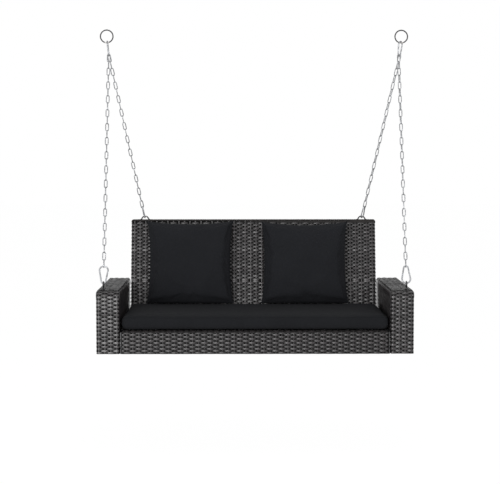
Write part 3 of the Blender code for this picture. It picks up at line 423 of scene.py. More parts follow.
def upright_loops(half_x, half_y, radius, heights, count, place, chance, lean=(0.0, 1.0)):
    """Level strands round an upright box, with stakes inside them. In the plan, place = corner centre +
    radius * facing; depth is measured inwards along the facing, and a slope carries y along with height."""
    inner_x, inner_y = half_x - radius, half_y - radius
    bend = radius - WEAVE_MIDDLE
    plan = outline(((0, WEAVE_MIDDLE - half_y), (0, -1)), ((inner_x, -inner_y), bend, -90, 0),
                   ((inner_x, inner_y), bend, 0, 90), ((-inner_x, inner_y), bend, 90, 180),
                   ((-inner_x, -inner_y), bend, 180, 270), ((0, WEAVE_MIDDLE - half_y), (0, -1)))
    distance, spot, facing = walk(plan, SAMPLE)
    spacing = distance[-1] / count
    distance, spot, facing = distance[:-1], spot[:-1], facing[:-1]
    rows = len(heights)
    rise, slope = lean
    depth = waved(distance, spacing, rows)
    level = heights[:, None] + slack(chance, distance, rows, LOOP_SLACK)
    flat = spot[None] - facing[None] * (depth - WEAVE_MIDDLE)[..., None]
    across = np.array([0.0, rise, slope])
    outward = np.stack([facing[:, 0], facing[:, 1] * slope, -facing[:, 1] * rise], -1)[None]
    centre = np.array(place) + across * level[..., None] + np.stack(
        [flat[..., 0], flat[..., 1] * slope, -flat[..., 1] * rise], -1)
    width = STRAND_WIDTH * chance.uniform(*WIDTH_SPREAD, (rows, 1))
    loops = strands(centre, outward, across, width, STRAND_THICKNESS, True, chance, standing(depth))
    return loops, plan, spacing


def upright_stakes(plan, spacing, chosen, low, high, place, chance, lean=(0.0, 1.0)):
    """Straight stakes behind the strands, at the middle of the weave's depth, between two heights."""
    spot, facing = at(plan, (chosen + 0.5) * spacing)
    rise, slope = lean
    along = np.array([0.0, rise, slope])
    flat = np.stack([spot[:, 0], spot[:, 1] * slope, -spot[:, 1] * rise], -1)
    outward = np.stack([facing[:, 0], facing[:, 1] * slope, -facing[:, 1] * rise], -1)[:, None]
    level = np.linspace(low, high, 4)[None, :, None]
    centre = np.array(place) + flat[:, None] + along * level
    return strands(centre, outward, np.cross(outward, along), STAKE_WIDTH, STAKE_THICKNESS, False, chance)


def crossing(spine, starts, profile, place, axes, chance, spacing=None, tuck=0.006):
    """Strands across a bent panel. spine is the panel's long section and starts the distances of its
    strands; profile is (across, out) along one strand; centre = spine place + across + out - depth * facing.
    Round a bend they narrow in the proportion of the inner to the outer radius."""
    distance, spot, tilt = walk(profile, SAMPLE)
    middle = distance - distance[-1] / 2
    rows = len(starts)
    if spacing:
        depth = waved(middle, spacing, rows)
    else:
        depth = np.full((rows, len(middle)), CLOSE_DEPTH)
    ends = np.clip((np.abs(middle) - distance[-1] / 2 + tuck) / tuck, 0, 1)
    depth = depth * (1 - ends) + TUCKED_DEPTH * ends
    here, out = at(spine, starts)
    step = 0.002
    curve = np.linalg.norm(at(spine, starts + step)[1] - at(spine, starts - step)[1], axis=1) / (2 * step)
    lengthways, outwards, sideways = (np.array(a, float) for a in axes)
    outward_row = out[:, :1] * lengthways + out[:, 1:] * outwards
    along_row = out[:, 1:] * lengthways - out[:, :1] * outwards
    base = np.array(place) + here[:, :1] * lengthways + here[:, 1:] * outwards
    facing = tilt[None, :, :1] * sideways + tilt[None, :, 1:] * outward_row[:, None]
    centre = base[:, None] + spot[None, :, :1] * sideways + spot[None, :, 1:] * outward_row[:, None]
    centre = centre - facing * depth[..., None]
    centre = centre + along_row[:, None] * slack(chance, middle, rows, CROSSING_SLACK)[..., None]
    narrow = 1 + curve[:, None] * (spot[None, :, 1] - depth * tilt[None, :, 1])
    wide = STRAND_WIDTH * narrow * chance.uniform(*WIDTH_SPREAD, (rows, 1))
    return strands(centre, facing, np.broadcast_to(along_row[:, None], centre.shape), wide, STRAND_THICKNESS,
                   False, chance, standing(depth))


def along_stakes(spine, offsets, place, axes, chance):
    """Stakes that follow a panel's long section, each at its own place across it."""
    distance, spot, facing = walk(spine, 0.02)
    lengthways, outwards, sideways = (np.array(a, float) for a in axes)
    out = facing[:, :1] * lengthways + facing[:, 1:] * outwards
    run = np.array(place) + spot[:, :1] * lengthways + spot[:, 1:] * outwards - out * WEAVE_MIDDLE
    centre = run[None] + np.array(offsets)[:, None, None] * sideways
    return strands(centre, out[None], sideways, STAKE_WIDTH, STAKE_THICKNESS, False, chance)


def rattan(name, dark, light, gloss, shine=0.42):
    """Extruded plastic rattan: brown-black, each strand its own tone, streaked and grooved lengthways.
    Painted light and shade: paler on the crowns, a painted highlight; darker along the strands' edges and
    down in the recesses, painted shade. The recesses also shine less."""
    look, place = material(name)
    side = place.node("Attribute", {"attribute_name": "side"}, {}, "Fac")
    shade = place.node("Attribute", {"attribute_name": "shade"}, {}, "Fac")
    four = {"noise_dimensions": "4D"}
    streak = place.node("TexNoise", four, {"Vector": place, "W": side * 7.0 + shade * 60.0,
                                           "Scale": 16.0, "Detail": 3.0, "Roughness": 0.6})
    groove = place.node("TexNoise", four, {"Vector": place, "W": side * 26.0 + shade * 60.0,
                                           "Scale": 34.0, "Detail": 2.0})
    cloud = place.noise(9.0, 3.0)
    crown = place.node("Attribute", {"attribute_name": "crown"}, {}, "Fac")
    # Paler on the crowns, where a strand stands out of the weave: a painted highlight.
    tone = shade * 0.36 + streak * 0.50 + cloud * 0.26 + crown.between(0.55, 1.0) * 0.25 - 0.40
    colour = tone.between(0.0, 0.85).tint(dark, light)
    # Darker along each strand's edges: painted shade between the strands.
    edge = side * side * 4.0
    colour = (edge.between(0.55, 1.0) * 0.5).tint(colour, tuple(0.5 * c for c in dark))
    # Much darker down in the recesses, where a strand dips under: painted shade. It shines less there too.
    colour = crown.between(0.15, 0.75).tint(tuple(0.3 * c for c in dark), colour)
    shine = crown.between(0.2, 0.7) * shine + 0.05
    coat(place, Base_Color=colour, Roughness=gloss + streak * 0.12 + cloud * 0.06, Specular_IOR_Level=shine,
         Normal=(groove * 0.7 + streak * 0.3).bump(0.45, 0.0006))
    return look


# The arms, deck and back share one rattan, in copies whose brightness differs: painted light and shade.
arm_rattan = rattan("arm_rattan", (0.0080, 0.0070, 0.0074), (0.038, 0.0315, 0.0335), 0.20, 0.52)
SEAT_AXES = ((0, 1, 0), (0, 0, 1), (1, 0, 0))
ARM_STAKES = 58
ARM_CORNER = 0.010
ARM_FRONT_BEND = 0.030
ARM_REAR_BEND = 0.020
ARM_WALL_TOP = 0.2325
ARM_TURN_DOWN = 0.0125
# The arm's top keeps only this share of its crown mark: painted shade, darker and less shiny on top.
TOP_PAINTED_SHADE = 0.42
TOP_PAINTED_SHADE_DEPTH = 0.005
STAKE_PAST_WALL = 0.004
BORDER_FOOT = 0.006
BORDER_DEPTH = 0.0009
BORDER_TUCK = 0.0030
BORDER_END = 0.010
LAST_RUNS = (0.42, 1.42)
LAST_RUN_PHASE = 0.0125

for side, seed in (("left", 11), ("right", 12)):
    chance = np.random.default_rng(seed)
    low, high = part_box("arm_weave_" + side)
    half_x, half_y = (high.x - low.x) / 2, (high.y - low.y) / 2
    tall = high.z - low.z
    foot = ((low.x + high.x) / 2, (low.y + high.y) / 2, low.z)
    rows = round((ARM_WALL_TOP - WEAVE_EDGE) / STRAND_PITCH)
    heights = WEAVE_EDGE + (np.arange(rows) + 0.5) * (ARM_WALL_TOP - WEAVE_EDGE) / rows
    walls, plan, spacing = upright_loops(half_x, half_y, ARM_CORNER, heights, ARM_STAKES, foot, chance)
    parts = [walls]
    spots, facings = at(plan, (np.arange(ARM_STAKES) + 0.5) * spacing)
    ends = np.abs(spots[:, 1]) > half_y - ARM_CORNER
    numbers = np.arange(ARM_STAKES)
    for chosen, head in ((~ends, tall - ARM_TURN_DOWN), (ends, ARM_WALL_TOP + STAKE_PAST_WALL)):
        parts.append(upright_stakes(plan, spacing, numbers[chosen], WEAVE_EDGE, head, foot, chance))

    front, rear = -half_y, half_y
    spine = outline(((front, ARM_WALL_TOP), (-1, 0)),
                    ((front + ARM_FRONT_BEND, tall - ARM_FRONT_BEND), ARM_FRONT_BEND, 180, 90),
                    ((rear - ARM_REAR_BEND, tall - ARM_REAR_BEND), ARM_REAR_BEND, 90, 0),
                    ((rear, ARM_WALL_TOP), (1, 0)))
    starts = even_places(spine)
    inner = half_x - ARM_CORNER
    profile = outline(((-half_x, -ARM_TURN_DOWN), (-1, 0)), ((-inner, -ARM_CORNER), ARM_CORNER, 180, 90),
                      ((inner, -ARM_CORNER), ARM_CORNER, 90, 0), ((half_x, -ARM_TURN_DOWN), (1, 0)))
    top = crossing(spine, starts, profile, foot, SEAT_AXES, chance, spacing)
    # Near the top of the arm the crown mark is cut: painted shade that darkens and dulls the top strands.
    wear_and_painted_shade = np.where(top[0][:, 2] > high.z - TOP_PAINTED_SHADE_DEPTH, TOP_PAINTED_SHADE, 1.0)
    parts.append((*top[:4], top[4] * wear_and_painted_shade))
    offsets = spots[(spots[:, 1] < WEAVE_MIDDLE * 1.5 - half_y), 0]
    parts.append(along_stakes(spine, offsets, foot, SEAT_AXES, chance))

    # On each side, the border strand over the top's turned-down ends, and the last two runs under them.
    inset = ARM_TURN_DOWN
    border = outline(((front + inset, ARM_WALL_TOP - BORDER_FOOT), (-1, 0)),
                     ((front + ARM_FRONT_BEND, tall - ARM_FRONT_BEND), ARM_FRONT_BEND - inset, 180, 90),
                     ((rear - ARM_REAR_BEND, tall - ARM_REAR_BEND), ARM_REAR_BEND - inset, 90, 0),
                     ((rear - inset, ARM_WALL_TOP - BORDER_FOOT), (1, 0)))
    for way in (-1, 1):
        distance, spot, facing = walk(border, 0.008)
        nearest = np.minimum(distance, distance[-1] - distance)
        deep = BORDER_DEPTH + BORDER_TUCK * np.clip(1 - nearest / BORDER_END, 0, 1)
        run = np.stack([way * (half_x - deep), spot[:, 0], spot[:, 1]], -1) + np.array(foot)
        flat = np.stack([np.zeros(len(facing)), facing[:, 0], facing[:, 1]], -1)
        parts.append(strands(run[None], np.array([way, 0.0, 0.0]), flat[None], STRAND_WIDTH, STRAND_THICKNESS,
                             False, chance, standing(deep)[None]))
        gap = ARM_WALL_TOP + STRAND_PITCH * np.array(LAST_RUNS)
        reach = np.linspace(front + inset + BORDER_FOOT, rear - inset - BORDER_FOOT, 100)
        deep = waved(reach - front - LAST_RUN_PHASE, spacing, 2)
        run = np.stack([way * (half_x - deep), np.broadcast_to(reach, deep.shape),
                        np.broadcast_to(gap[:, None], deep.shape)], -1) + np.array(foot)
        parts.append(strands(run, np.array([way, 0.0, 0.0]), np.array([0.0, 0.0, 1.0]), STRAND_WIDTH,
                             STRAND_THICKNESS, False, chance, standing(deep)))
    arm = woven_piece("arm_strands_" + side, parts, arm_rattan)
    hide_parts("arm_weave_" + side)
    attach(arm, "swing")


# --- Seat weave -------------------------------------------------------------------------------------
# The woven deck lies on the seat's upper loop, between the arms. Its stakes run from the back forwards,
# bend over the nose and hang down in front as the apron, with a narrow gap at each arm.

DECK_NOSE = 0.010
SEAT_STAKES = 45

chance = np.random.default_rng(21)
low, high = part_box("seat_weave")
tall = high.z - low.z
reach = high.y - low.y
half_x = (high.x - low.x) / 2
foot = (0.0, low.y, low.z)
spine = outline(((0, 0.0004), (-1, 0)), ((DECK_NOSE, tall - DECK_NOSE), DECK_NOSE, 180, 90),
                ((reach - WEAVE_EDGE, tall), (0, 1)))
starts = even_places(spine)
profile = outline(((WEAVE_EDGE - half_x, 0), (0, 1)), ((half_x - WEAVE_EDGE, 0), (0, 1)))
spacing = 2 * half_x / SEAT_STAKES
# The deck's copy of the rattan is darker than the arms': painted shade.
deck_rattan = rattan("deck_rattan", (0.0080, 0.0070, 0.0074), (0.031, 0.0258, 0.0278), 0.23, 0.34)
parts = [crossing(spine, starts, profile, foot, SEAT_AXES, chance, spacing)]
offsets = (np.arange(SEAT_STAKES - 1) - (SEAT_STAKES - 2) / 2) * spacing
parts.append(along_stakes(spine, offsets, foot, SEAT_AXES, chance))
deck = woven_piece("seat_strands", parts, deck_rattan)
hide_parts("seat_weave")
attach(deck, "swing")


# --- Back weave -------------------------------------------------------------------------------------
# A woven pocket pulled down over the back's frame. Level strands run right round it over upright stakes,
# and a closer strand is wrapped over the top edge from front to rear, left open where the arches stand.

BACK_RECLINE = math.radians(11.0)
BACK_PLACE = (0.0, 0.149461, -1.31)
BACK_HALF_WIDTH = 0.5545
BACK_HALF_THICK = 0.0153
BACK_EDGE = 0.005
BACK_CORNER = 0.012
BACK_FOOT = 0.00327
BACK_TOP = 0.530 / math.cos(BACK_RECLINE)
BACK_STAKES = 90
RIM_TURN_DOWN = 0.0115
ARCH_OFFSET = 0.4925
ARCH_SLOT = 0.0385
ARCH_SLOT_HALF = 0.0042

chance = np.random.default_rng(31)
back_up = (0.0, math.sin(BACK_RECLINE), math.cos(BACK_RECLINE))
back_rearwards = (0.0, math.cos(BACK_RECLINE), -math.sin(BACK_RECLINE))
# The back's copy of the rattan is a little paler than the arms': painted light.
back_rattan = rattan("back_rattan", (0.0082, 0.0070, 0.0076), (0.042, 0.0345, 0.0375), 0.21)
rim_rattan = rattan("rim_rattan", (0.0070, 0.0062, 0.0062), (0.020, 0.017, 0.016), 0.40, 0.12)
heights = np.arange(BACK_FOOT + 0.0040, BACK_TOP - RIM_TURN_DOWN - 0.0040, STRAND_PITCH)
half = len(heights) // 2
back_pieces = []
for tag, some in (("lower", heights[:half]), ("upper", heights[half:])):
    loops, plan, spacing = upright_loops(BACK_HALF_WIDTH, BACK_HALF_THICK, BACK_EDGE, some, BACK_STAKES,
                                         BACK_PLACE, chance, back_up[1:])
    back_pieces.append(woven_piece("back_strands_" + tag, [loops], back_rattan))

numbers = np.arange(BACK_STAKES)
inside = np.abs(at(plan, (numbers + 0.5) * spacing)[0][:, 0]) < BACK_HALF_WIDTH - BACK_EDGE
stakes = upright_stakes(plan, spacing, numbers[inside], BACK_FOOT + 0.0004, BACK_TOP - 0.007, BACK_PLACE,
                        chance, back_up[1:])
back_pieces.append(woven_piece("back_stakes", [stakes], back_rattan))

shoulder = BACK_TOP - BACK_CORNER
inner = BACK_HALF_WIDTH - BACK_CORNER
spine = outline(((-BACK_HALF_WIDTH, shoulder - 0.001), (-1, 0)), ((-inner, shoulder), BACK_CORNER, 180, 90),
                ((inner, shoulder), BACK_CORNER, 90, 0), ((BACK_HALF_WIDTH, shoulder - 0.001), (1, 0)))
starts = even_places(spine)
slotted = np.abs(np.abs(at(spine, starts)[0][:, 0]) - ARCH_OFFSET) < ARCH_SLOT
flat = BACK_HALF_THICK - BACK_EDGE
rim_front = ((-flat, -BACK_EDGE), BACK_EDGE, 180, 90)
rim_rear = ((flat, -BACK_EDGE), BACK_EDGE, 90, 0)
front_end = ((-BACK_HALF_THICK, -RIM_TURN_DOWN), (-1, 0))
rear_end = ((BACK_HALF_THICK, -RIM_TURN_DOWN), (1, 0))
axes = ((1, 0, 0), back_up, back_rearwards)
whole_rim = outline(front_end, rim_front, rim_rear, rear_end)
parts = [crossing(spine, starts[~slotted], whole_rim, BACK_PLACE, axes, chance)]
for profile in (outline(front_end, rim_front, ((-ARCH_SLOT_HALF, 0), (0, 1))),
                outline(((ARCH_SLOT_HALF, 0), (0, 1)), rim_rear, rear_end)):
    parts.append(crossing(spine, starts[slotted], profile, BACK_PLACE, axes, chance, tuck=0.003))
binding_height = np.array([BACK_TOP - RIM_TURN_DOWN - 0.0012])
binding, _, _ = upright_loops(BACK_HALF_WIDTH, BACK_HALF_THICK, BACK_EDGE, binding_height, 2, BACK_PLACE,
                              chance, back_up[1:])
parts.append(binding)
back_pieces.append(woven_piece("back_rim", parts, rim_rattan))
for item in back_pieces:
    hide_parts("back_weave")
    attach(item, "swing")


# --- Arches -----------------------------------------------------------------------------------------
# Two short arches of black wire, welded by their flat feet to the back's top tube. They stand up through
# the woven rim, and the rear snap hooks pull on them.

ARCH_WIRE = 0.006
ARCH_RADIUS = 0.016
ARCH_RISE = 0.015
ARCH_FEET = (0.034, 0.021, -0.002)


def wire(path, normal, thick, sides, closed):
    """Round wire along flat paths, one to a row: the profile is a circle about the path, set across its
    direction, corner = path + thick / 2 * (cos, sin) along (direction x normal, normal)."""
    if closed:
        direction = np.roll(path, -1, 1) - np.roll(path, 1, 1)
    else:
        direction = np.gradient(path, axis=1)
    first = np.cross(direction, normal)
    first /= np.linalg.norm(first, axis=-1, keepdims=True)
    circle = on_circle(full_turn(sides)) / 2
    size = np.broadcast_to(thick, path.shape[:2])[..., None, None]
    return carried(path, first, np.broadcast_to(normal, path.shape), circle * size, closed)


def placed(points, matrix):
    """Points (..., 3) moved by a 4 x 4 matrix."""
    turn = np.array(matrix)
    return points @ turn[:3, :3].T + turn[:3, 3]


def flat_path(matrix, across, up):
    """A path in a frame's XZ plane, as one row, and the frame's Y, which is square to it."""
    path = np.stack([across, np.zeros(len(across)), up], -1)
    return placed(path, matrix)[None], np.array(matrix)[:3, 1]


def rounded_path(corners, radius, steps=6):
    """A path with its inner corners rounded: quadratic curves that start and end a radius from each."""
    corners = np.array(corners, float)
    before = corners[:-2] - corners[1:-1]
    after = corners[2:] - corners[1:-1]
    before *= np.minimum(radius / np.linalg.norm(before, axis=1), 0.5)[:, None]
    after *= np.minimum(radius / np.linalg.norm(after, axis=1), 0.5)[:, None]
    t = np.linspace(0, 1, steps)[None, :, None]
    curve = corners[1:-1, None] + before[:, None] * (1 - t) ** 2 + after[:, None] * t ** 2
    return np.concatenate([corners[:1], curve.reshape(-1, 2), corners[-1:]])


def ring_steel(name, centre, reach):
    """Black coated wire, rubbed to bare bright metal where something hangs in it, and scuffed around that."""
    look, place = material(name)
    away = place.node("VectorMath", {"operation": "DISTANCE"}, {0: place, 1: tuple(centre)}, "Value")
    torn = place.noise(420.0, 4.0, 0.7) * 0.6 + place.noise(90.0, 2.0) * 0.4
    bare = 1.0 - (away * (1.0 / reach) + torn * 0.9 - 0.45).between(0.55, 0.80)
    peel = place.noise(900.0, 1.0)
    dust = place.noise(60.0, 4.0, 0.6).between(0.48, 0.70)
    colour = (dust * 0.3).tint((0.014, 0.014, 0.016), (0.055, 0.052, 0.048))
    colour = bare.tint(colour, (0.36, 0.35, 0.34))
    coat(place, Base_Color=colour, Metallic=bare * 0.9, Roughness=0.34 + dust * 0.2 - bare * 0.04,
         Normal=(peel * 0.6 + torn * 0.4).bump(0.22, 0.0004))
    return look


back_frame_place = Matrix.Translation(BACK_PLACE) @ Matrix.Rotation(-BACK_RECLINE, 4, "X")
arch_places = {}
for side, way in (("left", -1), ("right", 1)):
    stand = back_frame_place @ Matrix.Translation((way * ARCH_OFFSET, 0, BACK_TOP + 0.0003))
    arch_places[side] = stand
    out, toe, drop = ARCH_FEET
    turn = np.radians(np.linspace(165, 15, 15))
    bow = np.stack([ARCH_RADIUS * np.cos(turn), ARCH_RISE - ARCH_RADIUS + ARCH_RADIUS * np.sin(turn)], -1)
    foot_path = rounded_path([(-out, drop), (-toe, drop), bow[0]], 0.005)[:-1]
    route = np.concatenate([foot_path, bow, foot_path[::-1] * (-1, 1)])
    path, normal = flat_path(stand, route[:, 0], route[:, 1])
    top = stand @ Vector((0, 0, ARCH_RISE - 0.003))
    arch = new_piece("arch_" + side, *wire(path, normal, ARCH_WIRE, 14, False),
                     ring_steel("arch_steel_" + side, top, 0.009))
    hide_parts("back_arch_" + side)
    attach(arch, "swing")


# --- Eye bolts --------------------------------------------------------------------------------------
# A forged eye on a collar and a threaded shank, blackened, one at the front of each arm. The shank goes
# through washer, weave and strap into its nut; the front snap hook rubs the inside of the eye.

EYE_WIRE = 0.006
EYE_OUTER = 0.030
EYE_COLLAR = 0.011
EYE_NECK = 0.0022
EYE_SHANK = 0.022
THREAD_PITCH = 0.001
THREAD_DEPTH = 0.0004
THREAD_LEAD = 0.0008


def turned(place, profile, sides):
    """A turned solid on a frame's Z, with flat ends: corner = (radius * cos, radius * sin, height)."""
    profile = np.array(profile)
    circle = on_circle(full_turn(sides))
    frame_axes = np.array(place)
    centre = placed(profile[:, 1:] * (0.0, 0.0, 1.0), place)[None]
    first, second = (np.broadcast_to(frame_axes[:3, k], centre.shape) for k in (0, 1))
    return carried(centre, first, second, circle * profile[None, :, :1, None], False)


eye_centres = {}
for side in ("left", "right"):
    low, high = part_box("eye_bolt_" + side)
    middle = Vector(((low.x + high.x) / 2, (low.y + high.y) / 2, high.z - EYE_OUTER / 2))
    eye_centres[side] = middle
    turn = full_turn(40)
    radius = (EYE_OUTER - EYE_WIRE) / 2
    facing = Matrix.Translation(middle) @ Matrix.Rotation(math.pi / 2, 4, "Z")
    path, normal = flat_path(facing, radius * np.cos(turn), radius * np.sin(turn))
    neck = -EYE_OUTER / 2
    seat = neck - EYE_NECK
    shank, collar = EYE_WIRE / 2, EYE_COLLAR / 2
    threads = np.arange(0, EYE_SHANK - 0.002, THREAD_PITCH / 2)
    cut = np.where(np.arange(len(threads)) % 2, shank - THREAD_DEPTH, shank)
    profile = [(shank * 0.8, seat - EYE_SHANK), *zip(cut, seat - EYE_SHANK + THREAD_LEAD + threads),
               (shank, seat - 0.0001), (collar - 0.0005, seat), (collar, seat + 0.0005),
               (collar, neck - 0.0002), (collar - 0.0012, neck + 0.0012), (shank, neck + 0.0030)]
    parts = [wire(path, normal, EYE_WIRE, 16, True), turned(Matrix.Translation(middle), profile, 20)]
    rub = middle + Vector((0, 0, radius))
    eye = new_piece("eye_" + side, *joined(parts), ring_steel("eye_steel_" + side, rub, 0.010), 40.0)
    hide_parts("eye_bolt_" + side)
    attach(eye, "swing")


# --- Hanging rings ----------------------------------------------------------------------------------
# The two fixed rings that the bench swings from: heavy black coated wire, welded shut, and worn bright
# low down, where the top snap hooks turn in them.

RING_OUTER = 0.060
RING_WIRE = 0.0055
RING_OFFSET = 0.640
RING_WELD_TURN = 1.6
RING_WELD_SPAN = 0.06
RING_WELD_SWELLING = 1.06

ring_radius = (RING_OUTER - RING_WIRE) / 2
for side, way in (("left", -1), ("right", 1)):
    stand = Matrix.Translation((way * RING_OFFSET, 0, ring_radius))
    turn = full_turn(64)
    path, normal = flat_path(stand, ring_radius * np.cos(turn), ring_radius * np.sin(turn))
    weld = 1 + 0.10 * np.exp(-((turn - RING_WELD_TURN) / RING_WELD_SPAN) ** 2)
    thick = RING_WIRE * np.minimum(weld, RING_WELD_SWELLING)[None]
    ring = new_piece("ring_" + side, *wire(path, normal, thick, 14, True),
                     ring_steel("ring_steel_" + side, (way * RING_OFFSET, 0, 0), 0.014))
    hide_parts("hanging_ring_" + side)
    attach(ring, "hangers")


# --- Snap hooks -------------------------------------------------------------------------------------
# Pear-shaped snap hooks of zinc-plated wire: one in each ring, one in each eye bolt and one on each arch.
# Both wire ends are beaten into flat tongues; the sprung gate is pinned on one and shuts over the other.

HOOK_SIZES = {"front": (0.080, 0.042, 0.0250, 0.0065), "top": (0.070, 0.035, 0.0250, 0.0060),
              "rear": (0.060, 0.030, 0.0195, 0.0055)}
HOOK_FIT = 0.0003
HOOK_PLAY = 0.0005
PIN_RADIUS = 0.16
PIN_HEAD = 0.0002
LINK_WIRE = 0.004
LINK_PLAY = 0.0009
LINK_PITCH = 0.0315
LINK_WIDTH = 0.016
TOP_LINK_SPREAD = LINK_WIRE / 2 + 0.0008
TOP_HOOK_LEAN = math.radians(6.0)
TOP_HOOK_TURN = {-1: 0.0, 1: math.radians(38.0)}
REAR_HOOK_TURN = {-1: math.radians(12.0), 1: math.radians(-30.0)}


class Hook:
    """The outline of a snap hook in its own XZ plane: narrow end at the origin, wide end up Z, gate at +X.
    Both ends are arcs; the gate's line touches them both, so it leans by asin(radius step / centre step)."""

    def __init__(self, kind):
        self.length, self.width, self.narrow, self.thick = HOOK_SIZES[kind]
        thick = self.thick
        self.span = self.length - thick
        self.low = (self.narrow - thick) / 2
        self.high = (self.width - thick) / 2
        self.low_centre = np.array((0.0, self.low))
        self.high_centre = np.array((0.0, self.span - self.high))
        self.lean = math.asin((self.low - self.high) / (self.high_centre[1] - self.low_centre[1]))
        self.normal = np.array((math.cos(self.lean), math.sin(self.lean)))
        foot = self.low_centre + self.normal * self.low
        head = self.high_centre + self.normal * self.high
        self.along = (head - foot) / np.linalg.norm(head - foot)
        self.shoulder = foot + self.along * 0.10 * thick
        self.pivot = self.shoulder + self.along * 0.75 * thick
        self.nose = head - self.along * 0.20 * thick
        self.tab = 0.38 * thick
        self.latch = 0.60 * thick

    def route(self):
        """The wire from the gate's pin round the narrow end, up, round the wide end and back to the nose."""
        turn = np.linspace(self.lean, -math.pi - self.lean, 19)
        low = self.low_centre + self.low * on_circle(turn)
        turn = np.linspace(math.pi - self.lean, self.lean, 21)
        high = self.high_centre + self.high * on_circle(turn)
        return np.concatenate([[self.shoulder], low, high, [self.nose]])

    def tongue(self, start, end):
        """A flat tongue between two places on the gate's line, half round at its far end."""
        along = (end - start) / np.linalg.norm(end - start)
        across = np.array((along[1], -along[0]))
        half = 0.45 * self.thick
        turn = np.linspace(0, math.pi, 9)[:, None]
        tip = end + half * (np.cos(turn) * across + np.sin(turn) * along)
        return np.concatenate([[start - across * half, start + across * half], tip])


def hook_frame(low, direction, across):
    """A frame with its origin on an end's wire, Z along the hook and X across it."""
    along = direction.normalized()
    sideways = (across - along * across.dot(along)).normalized()
    turn = Matrix((sideways, along.cross(sideways), along)).transposed().to_4x4()
    return Matrix.Translation(low) @ turn


def plate(matrix, shape, near, far, axes=(0, 2, 1)):
    """A flat plate: an outline in two of a frame's axes, carried along the third from near to far."""
    turn = np.array(matrix)
    first, second, along = (turn[:3, k] for k in axes)
    centre = (turn[:3, 3] + np.array([[near], [far]]) * along)[None]
    return carried(centre, np.broadcast_to(first, centre.shape), np.broadcast_to(second, centre.shape),
                   np.broadcast_to(shape, (1, 2, *shape.shape)), False)


def snap_hook(name, kind, matrix, look):
    """A hook's bent wire with its two tongues, and its gate: a round bar slotted at both ends, and a pin."""
    form = Hook(kind)
    thick = form.thick
    route = form.route()
    path, normal = flat_path(matrix, route[:, 0], route[:, 1])
    root = form.along * 0.40 * thick
    tip = form.nose - form.along * (form.latch - 0.45 * thick + 0.0005)
    parts = [wire(path, normal, thick, 14, False),
             plate(matrix, form.tongue(form.shoulder - root, form.pivot), -form.tab / 2, form.tab / 2),
             plate(matrix, form.tongue(form.nose + root, tip), -form.tab / 2, form.tab / 2)]
    body = new_piece(name + "_wire", *joined(parts), look, 40.0)
    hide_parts(name + "_body")
    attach(body, "swing")

    normal, along = form.normal, form.along
    turn = Matrix(((normal[0], 0, along[0]), (0, 1, 0), (normal[1], 0, along[1]))).to_4x4()
    hinge = matrix @ Matrix.Translation((form.pivot[0], 0, form.pivot[1])) @ turn
    reach = np.linalg.norm(form.nose - form.pivot) - 0.0006
    radius = 0.96 * thick / 2
    slot = form.tab / 2 + HOOK_FIT
    start, end = 0.45 * thick + 0.0004, reach - form.latch - 0.0004
    profile = [(radius, start), (radius, start + 0.0001), (radius, end - 0.0001), (radius, end)]
    edge = math.asin(slot / radius)
    cheek = radius * on_circle(np.linspace(edge, math.pi - edge, 10))
    parts = [turned(hinge, profile, 20)]
    for way in (1, -1):
        for near, far in ((-0.5 * thick, start), (end, reach)):
            parts.append(plate(hinge, cheek * (1, way), near, far, (0, 1, 2)))
    pin = PIN_RADIUS * thick * on_circle(full_turn(12))
    parts.append(plate(hinge, pin, -radius - PIN_HEAD, radius + PIN_HEAD))
    gate = new_piece(name + "_gate_bar", *joined(parts), look, 40.0)
    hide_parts(name + "_gate")
    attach(gate, name + "_gate")
    return form


